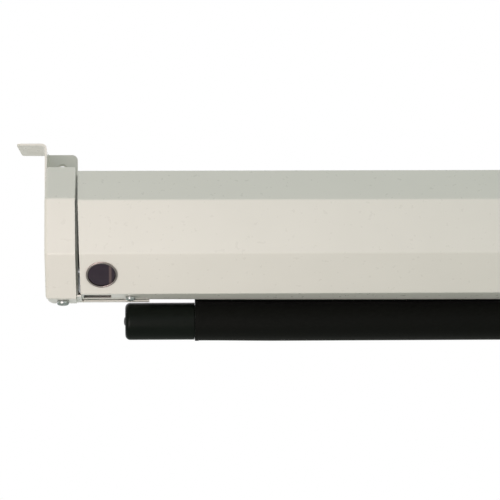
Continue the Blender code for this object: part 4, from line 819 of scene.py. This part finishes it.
def make_end_plate(side, word, hole_cutters):
    corners = inset(case_outline(), PLATE_INSET)
    flange_h = CASE_SIZE - CASE_WALL - GAP
    flange_front_d = CASE_SIZE / 2 - FLANGE_HALF
    flange_rear_d = CASE_SIZE / 2 + FLANGE_HALF
    upper_neck = [Vector(p) for p in ((flange_front_d, corners[3].y), (flange_front_d, flange_h),
                                      (flange_rear_d, flange_h), (flange_rear_d, corners[4].y))]
    lower_neck = [Vector(p) for p in ((FOOT_FOLD_D, corners[7].y), (FOOT_FOLD_D, FOOT_LOW_H),
                                      (TONGUE_FRONT_D, FOOT_LOW_H), (TONGUE_FRONT_D, corners[0].y))]
    plate = prism_x(corners[:4] + upper_neck + corners[4:] + lower_neck,
                    end_x(side, PLATE_OUTER_U), end_x(side, -GAP))
    rise = CHAMFER - PLATE_SHEET
    foot_path = [(FOOT_FRONT_D, FOOT_LOW_H), (FOOT_FOLD_D, FOOT_LOW_H),
                 (FOOT_FOLD_D + rise, FOOT_LOW_H + rise)]
    foot = prism_x(sheet_outline(foot_path, CASE_FOLD_R, PLATE_SHEET),
                   end_x(side, FOOT_OUTER_U), end_x(side, FOOT_LENGTH))
    clear_d = LIP_END_D + 2 * GAP
    under_lip = block(end_x(side, FOOT_STRIP), end_x(side, FOOT_LENGTH + CASE_WALL), 0, clear_d,
                      -CASE_SIZE, 0)
    relief = prism_h(circle_outline((end_x(side, FOOT_STRIP), clear_d), FOOT_RELIEF_R, 32), 2 * FOOT_LOW_H, 0)
    foot = combine(foot, [under_lip, relief])
    tongue = block(end_x(side, -GAP), end_x(side, FOOT_OUTER_U - TONGUE_LENGTH),
                   TONGUE_FRONT_D, TONGUE_FRONT_D + TONGUE_DEPTH, FOOT_LOW_H, FOOT_LOW_H + PLATE_SHEET)
    flange = block(end_x(side, PLATE_OUTER_U), end_x(side, FLANGE_LENGTH), flange_front_d, flange_rear_d,
                   flange_h - PLATE_SHEET, flange_h)
    body = combine(plate, [foot, tongue, flange], "UNION")
    holes = [screw_hole(side, BRACKET_SCREW_U, TONGUE_MIDDLE_D, 0, BRACKET_SCREW),
             screw_hole(side, TOP_SCREW_U, CASE_SIZE / 2, CASE_SIZE, TOP_SCREW)]
    piece("plate_" + word, combine(body, holes + hole_cutters), "powder_coat", "screen_frame",
          "end_plate_" + word)


def plate_hole(side, d, h, radius):
    """Round cutter through an end plate."""
    return prism_x(circle_outline((d, h), radius, 48), end_x(side, -THROUGH), end_x(side, THROUGH))


# Screws

def threaded(length, radius, pitch, count):
    """Rings of points of a threaded shank, from its end up to the head."""
    rings = []
    depth = pitch * 0.45
    lead_in = 1.5 * pitch
    tip_share = 0.4
    steps = int(length / pitch * THREAD_STEPS)
    for step in range(steps + 1):
        along = -length + length * step / steps
        ring = []
        for i in range(count):
            share = (along / pitch - i / count) % 1.0
            ridge = 1 - abs(2 * share - 1)
            taper = min(1.0, (along + length) / lead_in + tip_share)
            reach = (radius - depth + depth * ridge) * taper
            if step == steps:
                reach = radius - depth
            angle = 2 * math.pi * i / count
            ring.append(Vector((reach * math.cos(angle), reach * math.sin(angle), along)))
        rings.append(ring)
    return rings


def make_screw(name, seat, direction, screw, node):
    """Pan-head screw with a cross recess and a threaded shank; seat is under the head."""
    shank_dia, head_dia, head_height, length, pitch = screw
    head_r = head_dia / 2
    count = 48
    edge = 0.12 * MM
    edge_height = 0.22 * MM
    side_height = head_height * 0.42
    dome = math.radians(80)
    dome_inset = 0.55
    profile = [(edge_height, head_r)]
    for step in range(9):
        angle = dome * step / 8
        profile.append((side_height + (head_height - side_height) * math.sin(angle) / math.sin(dome),
                        head_r * (1 - dome_inset * (1 - math.cos(angle)))))
    rings = threaded(length, shank_dia / 2, pitch, count)
    rings.append(raised(circle_outline((0, 0), head_r - edge, count), 0))
    for along, radius in profile:
        rings.append(raised(circle_outline((0, 0), radius, count), along))
    solid = loft(rings)
    arm = head_r * 0.50
    half_width = head_r * 0.125
    cutters = []
    for half_a, half_b in ((arm, half_width), (half_width, arm)):
        levels = []
        for taper, level in RECESS_LEVELS:
            a = half_a * (taper if half_a > half_b else 1.0)
            b = half_b * (taper if half_b > half_a else 1.0)
            slot = rounded(box_outline(-a, -b, a, b), half_width * 0.5, closed=True, steps=3)
            levels.append(raised(slot, head_height * level))
        cutters.append(loft(levels))
    cutters.append(loft([raised(circle_outline((0, 0), radius * head_r, 16), head_height * level)
                         for radius, level in ((0.1, 0.2), (0.26, 1.3))]))
    mesh = combine(solid, cutters)
    turn = Vector((0, 0, 1)).rotation_difference(Vector(direction)).to_matrix().to_4x4()
    mesh.transform(Matrix.Translation(seat) @ turn @ Matrix.Rotation(RECESS_TURN, 4, "Z"))
    piece(name, mesh, "zinc", "screen_frame", node, crease=40)


def make_screws():
    for side, word in SIDES:
        make_screw("screw_under_bracket_" + word,
                   at(end_x(side, BRACKET_SCREW_U), TONGUE_MIDDLE_D, -BRACKET_BELOW - GAP),
                   (0, 0, -1), BRACKET_SCREW, "bracket_screw_" + word)
        make_screw("screw_under_lip_" + word, at(end_x(side, LIP_SCREW_U), LIP_SCREW_D, -GAP),
                   (0, 0, -1), LIP_SCREW, "lip_screw_" + word)
        make_screw("screw_on_top_" + word, at(end_x(side, TOP_SCREW_U), CASE_SIZE / 2, CASE_SIZE + GAP),
                   (0, 0, 1), TOP_SCREW, "top_screw_" + word)


# Infrared window

def make_window():
    centre, outward = window_frame()
    bore_r = LENS_R + GAP
    seat_r = bore_r - 1.2 * MM
    top = GAP + 0.8 * MM
    rim = [(-BARREL_LENGTH, seat_r), (-BARREL_LENGTH, WINDOW_BARREL_R), (GAP, WINDOW_BARREL_R),
           (GAP, WINDOW_RIM_R)]
    middle = (WINDOW_RIM_R + bore_r) / 2
    half = (WINDOW_RIM_R - bore_r) / 2
    round_height = half * 0.45
    for step in range(9):
        angle = math.pi * step / 8
        rim.append((top - round_height + round_height * math.sin(angle), middle + half * math.cos(angle)))
    rim += [(LENS_BACK - GAP, bore_r), (LENS_BACK - GAP, seat_r)]
    piece("bezel", lathe(rim, centre, outward, 96), "rim_metal", "screen_frame", "window_bezel")
    front = LENS_BACK + 2.0 * MM
    crown_height = 0.5 * MM
    crown_r = LENS_R * 0.97
    crown = [(front + crown_height * (1 - (step / 10) ** 2), crown_r * step / 10)
             for step in range(10, -1, -1)]
    lens = [(LENS_BACK, 0), (LENS_BACK, LENS_R), (front - 0.15 * MM, LENS_R)] + crown
    piece("lens", lathe(lens, centre, outward, 96, closed=False), "ir_lens", "screen_frame", "window_lens")


# Bottom bar, hem and fabric

def make_caps():
    """End caps of the bar, with a low pip on the face and a spigot inside the tube."""
    centre = at(0, FABRIC_D, BAR_H)
    shoulder_u = END_ROOM - GAP
    edge = 0.2 * MM
    spigot_r = BAR_R - 1.2 * MM - GAP
    spigot_u = shoulder_u + SPIGOT_LENGTH
    bore_r = spigot_r - CAP_WALL
    bore_u = CAP_START_U + 3 * CAP_WALL
    profile = []
    for step in range(8):
        angle = math.pi / 2 * step / 8
        profile.append((CAP_START_U - PIP_HEIGHT * math.cos(angle), PIP_R * math.sin(angle)))
    profile += [(CAP_START_U - 0.05 * MM, PIP_R), (CAP_START_U, PIP_R + 0.25 * MM)]
    for step in range(13):
        angle = math.pi / 2 * step / 12
        profile.append((CAP_START_U + CAP_ROUND * (1 - math.cos(angle)),
                        CAP_R - CAP_ROUND * (1 - math.sin(angle))))
    profile += [(shoulder_u - edge, CAP_R), (shoulder_u, CAP_R - edge), (shoulder_u, spigot_r),
                (spigot_u, spigot_r), (spigot_u, bore_r), (bore_u, bore_r), (bore_u, 0)]
    for side, word in SIDES:
        cap = lathe([(end_x(side, u), radius) for u, radius in profile], centre, (1, 0, 0), 96, closed=False)
        piece("cap_" + word, cap, "black_plastic", "bottom_bar", "bar_cap_" + word)


def make_hem():
    """Hem of the fabric round the bar, with a thicker band at each end and a slight sag."""
    half = FABRIC_WIDTH / 2
    band_x = -half + HEM_BAND
    band_r = HEM_OUTER_R + HEM_BAND_RISE
    slope = 0.3 * MM
    outer = [(-half, band_r), (band_x, band_r), (band_x + slope, HEM_OUTER_R)]
    inner = [(-half, HEM_INNER_R)]
    for step in range(1, 9):
        along = band_x + HEM_SAG_LENGTH * step / 8
        outer.append((along, HEM_OUTER_R))
        inner.append((along, HEM_INNER_R))
    outer += [(-x, r) for x, r in outer[::-1]]
    inner += [(-x, r) for x, r in inner[::-1]]
    hem = lathe(outer + inner[::-1], at(0, FABRIC_D, BAR_H), (1, 0, 0), 96)
    for vertex in hem.vertices:
        share = min(max((half - HEM_BAND - abs(vertex.co.x)) / HEM_SAG_LENGTH, 0.0), 1.0)
        vertex.co.z -= HEM_SAG * share * share * (3 - 2 * share)
    hem = piece("hem", hem, "black_fabric", "bottom_bar", "bar_hem")


def inverse_smoothstep(value):
    """The share t at which 3t^2 - 2t^3 has the given value."""
    return 0.5 - math.sin(math.asin(1 - 2 * value) / 3)


def make_drop():
    """The stretch of fabric between the roll and the hem: black, with a white surface on its front.

    Its rows lie so that they come out evenly spaced when the bar is down.
    """
    top_h = ROLLER_H
    low_h = BAR_H + HEM_OUTER_R - JOIN_STEP - HEM_SAG
    blend_h = top_h - FABRIC_BLEND

    def level(share):
        return top_h + (blend_h - top_h) * inverse_smoothstep(share)

    rigid = blend_h - low_h
    white_top_h = level(TOP_BORDER / BAR_DROP)
    white_low_h = level(1 - (LOW_BORDER - rigid) / BAR_DROP)
    heights = [level(step / FABRIC_ROWS) for step in range(FABRIC_ROWS + 1)]
    heights = sorted({*heights, white_top_h, white_low_h}, reverse=True)
    heights += [blend_h + (low_h - blend_h) * step / 4 for step in range(1, 5)]
    half = FABRIC_WIDTH / 2
    white_half = half - SIDE_BORDER
    columns = [white_half * (2 * i / FABRIC_COLUMNS - 1) for i in range(FABRIC_COLUMNS + 1)]
    columns = [-half] + columns + [half]
    bm = bmesh.new()
    front, back = [[[bm.verts.new(at(x, d, h)) for x in columns] for h in heights]
                   for d in (FABRIC_D - FABRIC_THICK / 2, FABRIC_D + FABRIC_THICK / 2)]
    for r in range(len(heights) - 1):
        middle_h = (heights[r] + heights[r + 1]) / 2
        for c in range(len(columns) - 1):
            face = bm.faces.new((front[r][c], front[r][c + 1], front[r + 1][c + 1], front[r + 1][c]))
            inside = 0 < c < len(columns) - 2 and white_low_h < middle_h < white_top_h
            face.material_index = 1 if inside else 0
            bm.faces.new((back[r][c], back[r + 1][c], back[r + 1][c + 1], back[r][c + 1]))
        bm.faces.new((front[r][0], front[r + 1][0], back[r + 1][0], back[r][0]))
        bm.faces.new((front[r][-1], back[r][-1], back[r + 1][-1], front[r + 1][-1]))
    for c in range(len(columns) - 1):
        bm.faces.new((front[0][c], back[0][c], back[0][c + 1], front[0][c + 1]))
        bm.faces.new((front[-1][c], front[-1][c + 1], back[-1][c + 1], back[-1][c]))
    mesh = finished(bm)
    materials = [polygon.material_index for polygon in mesh.polygons]
    drop = piece("fabric", mesh, "black_fabric", None, "fabric_drop")
    mesh.materials.append(MATERIALS["white_fabric"])
    mesh.polygons.foreach_set("material_index", materials)
    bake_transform(drop)


def make_roll():
    """The fabric wound on the roller, as one spiral strip."""
    axis = Vector((ROLLER_D, ROLLER_H))
    whole_turn = 2 * math.pi * ((ROLL_OUTER_R - ROLL_INNER_R) / FABRIC_THICK - 0.25)
    steps = int(whole_turn / (2 * math.pi) * TURN_STEPS)
    thick = FABRIC_THICK * WOUND_SHARE
    inner = []
    outer = []
    for step in range(steps + 1):
        angle = whole_turn * step / steps
        radius = ROLL_OUTER_R - (whole_turn - angle) / (2 * math.pi) * FABRIC_THICK - thick
        direction = Vector((math.cos(angle), math.sin(angle)))
        inner.append(axis + direction * radius)
        outer.append(axis + direction * (radius + thick))
    roll = spiral_strip(inner + outer[::-1], -FABRIC_WIDTH / 2, FABRIC_WIDTH / 2)
    roll = piece("wound_fabric", roll, "black_fabric", "roller", "fabric_roll")


def spiral_strip(outline, x_low, x_high):
    """Extrude a wound strip's outline along X, with its ends closed by quads between the two sides."""
    bm = bmesh.new()
    loops = [[bm.verts.new(at(x, p.x, p.y)) for p in outline] for x in (x_low, x_high)]
    count = len(outline)
    for i in range(count):
        j = (i + 1) % count
        bm.faces.new((loops[0][i], loops[0][j], loops[1][j], loops[1][i]))
    for loop in loops:
        for i in range(count // 2 - 1):
            bm.faces.new((loop[i], loop[i + 1], loop[count - 2 - i], loop[count - 1 - i]))
    return finished(bm)


# CAD nodes that keep their shape

def dress_nodes():
    """Give each carried-over CAD node the procedural material of its slot."""
    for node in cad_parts.values():
        slots = node.material_slots
        if slots and slots[0].material and not node.hide_render:
            name = slots[0].material.name.split(".")[0]
            slots[0].material = MATERIALS[name]


# Floor, light and camera

def make_floor():
    bm = bmesh.new()
    outline = box_outline(-FLOOR_HALF, -FLOOR_HALF, FLOOR_HALF, FLOOR_HALF)
    bm.faces.new([bm.verts.new((corner.x, corner.y, FLOOR_H)) for corner in outline])
    mesh = bpy.data.meshes.new("floor")
    bm.to_mesh(mesh)
    bm.free()
    made = Shader("floor", (0.86, 0.86, 0.85), 0.8)
    made.vary_colour(made.noise(0.4, 3.0), (0.85, 0.85, 0.84), (0.87, 0.87, 0.86))
    made.vary_roughness(made.noise(0.1), 0.75, 0.85)
    made.inputs["Emission Color"].default_value = (*FLOOR_GLOW, 1.0)
    made.link(made.node("LightPath", {})["Is Camera Ray"], "Emission Strength")
    mesh.materials.append(made.material)
    floor = bpy.data.objects.new("floor", mesh)
    bpy.context.scene.collection.objects.link(floor)


def area_light(name, place, target, size, power, colour):
    lamp = bpy.data.lights.new(name, "AREA")
    lamp.shape = "RECTANGLE"
    lamp.size, lamp.size_y = size
    lamp.energy = power
    lamp.color = colour
    made = bpy.data.objects.new(name, lamp)
    made.location = place
    made.rotation_euler = (Vector(target) - Vector(place)).to_track_quat("-Z", "Y").to_euler()
    bpy.context.scene.collection.objects.link(made)


def make_world():
    """White surroundings for the eye, and an even ambient light with a wide soft glow from the front.

    A reflection that points to the rear shows the same white as the eye sees there.
    """
    world = bpy.data.worlds.new("studio")
    bpy.context.scene.world = world
    world.use_nodes = True
    tree = world.node_tree
    tree.nodes.clear()

    def node(kind, *inputs, **settings):
        used = {place: value for place, value in enumerate(inputs) if value is not None}
        return add_node(tree, kind, used, **settings)

    def calculate(operation, first, second):
        return node("Math", first, second, operation=operation)["Value"]

    def vector(operation, first, second=None, scale=None):
        return node("VectorMath", first, second, None, scale, operation=operation)

    direction = node("TexCoord")["Generated"]
    parts = node("SeparateXYZ", direction)
    toward = calculate("MAXIMUM", vector("DOT_PRODUCT", direction, GLOW_AIM)["Value"], 0.0)
    glow = vector("SCALE", GLOW, scale=calculate("POWER", toward, 2.0))["Vector"]
    sky = vector("SCALE", SKY, scale=calculate("MAXIMUM", parts["Z"], 0.0))["Vector"]
    light = vector("ADD", vector("ADD", glow, sky)["Vector"], AMBIENT)["Vector"]

    path = node("LightPath")
    to_rear = node("MapRange", parts["Y"], BACKDROP_START, BACKDROP_END)["Result"]
    reflected = calculate("MULTIPLY", path["Is Glossy Ray"], to_rear)
    seen = calculate("MAXIMUM", path["Is Camera Ray"], reflected)
    white = calculate("MAXIMUM", seen, path["Is Transmission Ray"])
    mixed = node("MixShader", white, node("Background", light)[0], node("Background", (1, 1, 1, 1))[0])
    node("OutputWorld", mixed[0])


def make_camera():
    lens = bpy.data.cameras.new("camera")
    lens.lens = CAMERA_LENS
    lens.sensor_width = 36.0
    lens.clip_start = 0.01
    lens.clip_end = 50.0
    camera = bpy.data.objects.new("camera", lens)
    camera.location = CAMERA_PLACE
    camera.rotation_euler = CAMERA_TURN
    bpy.context.scene.collection.objects.link(camera)
    bpy.context.scene.camera = camera


make_camera()
make_case()
make_clip()
make_brackets()
make_end_plate(LEFT, "left", [plate_hole(LEFT, ROLLER_D, ROLLER_H, MOTOR_STUD_HOLE_R),
                              plate_hole(LEFT, GROMMET_D, GROMMET_H, GROMMET_HOLE_R)])
make_end_plate(RIGHT, "right", [plate_hole(RIGHT, ROLLER_D, ROLLER_H, IDLER_BUSH_HOLE_R)])
make_screws()
make_window()
make_caps()
make_hem()
make_drop()
make_roll()
dress_nodes()
make_floor()
make_world()
for lamp in LAMPS:
    area_light(*lamp)
bpy.context.scene.view_settings.view_transform = "Standard"
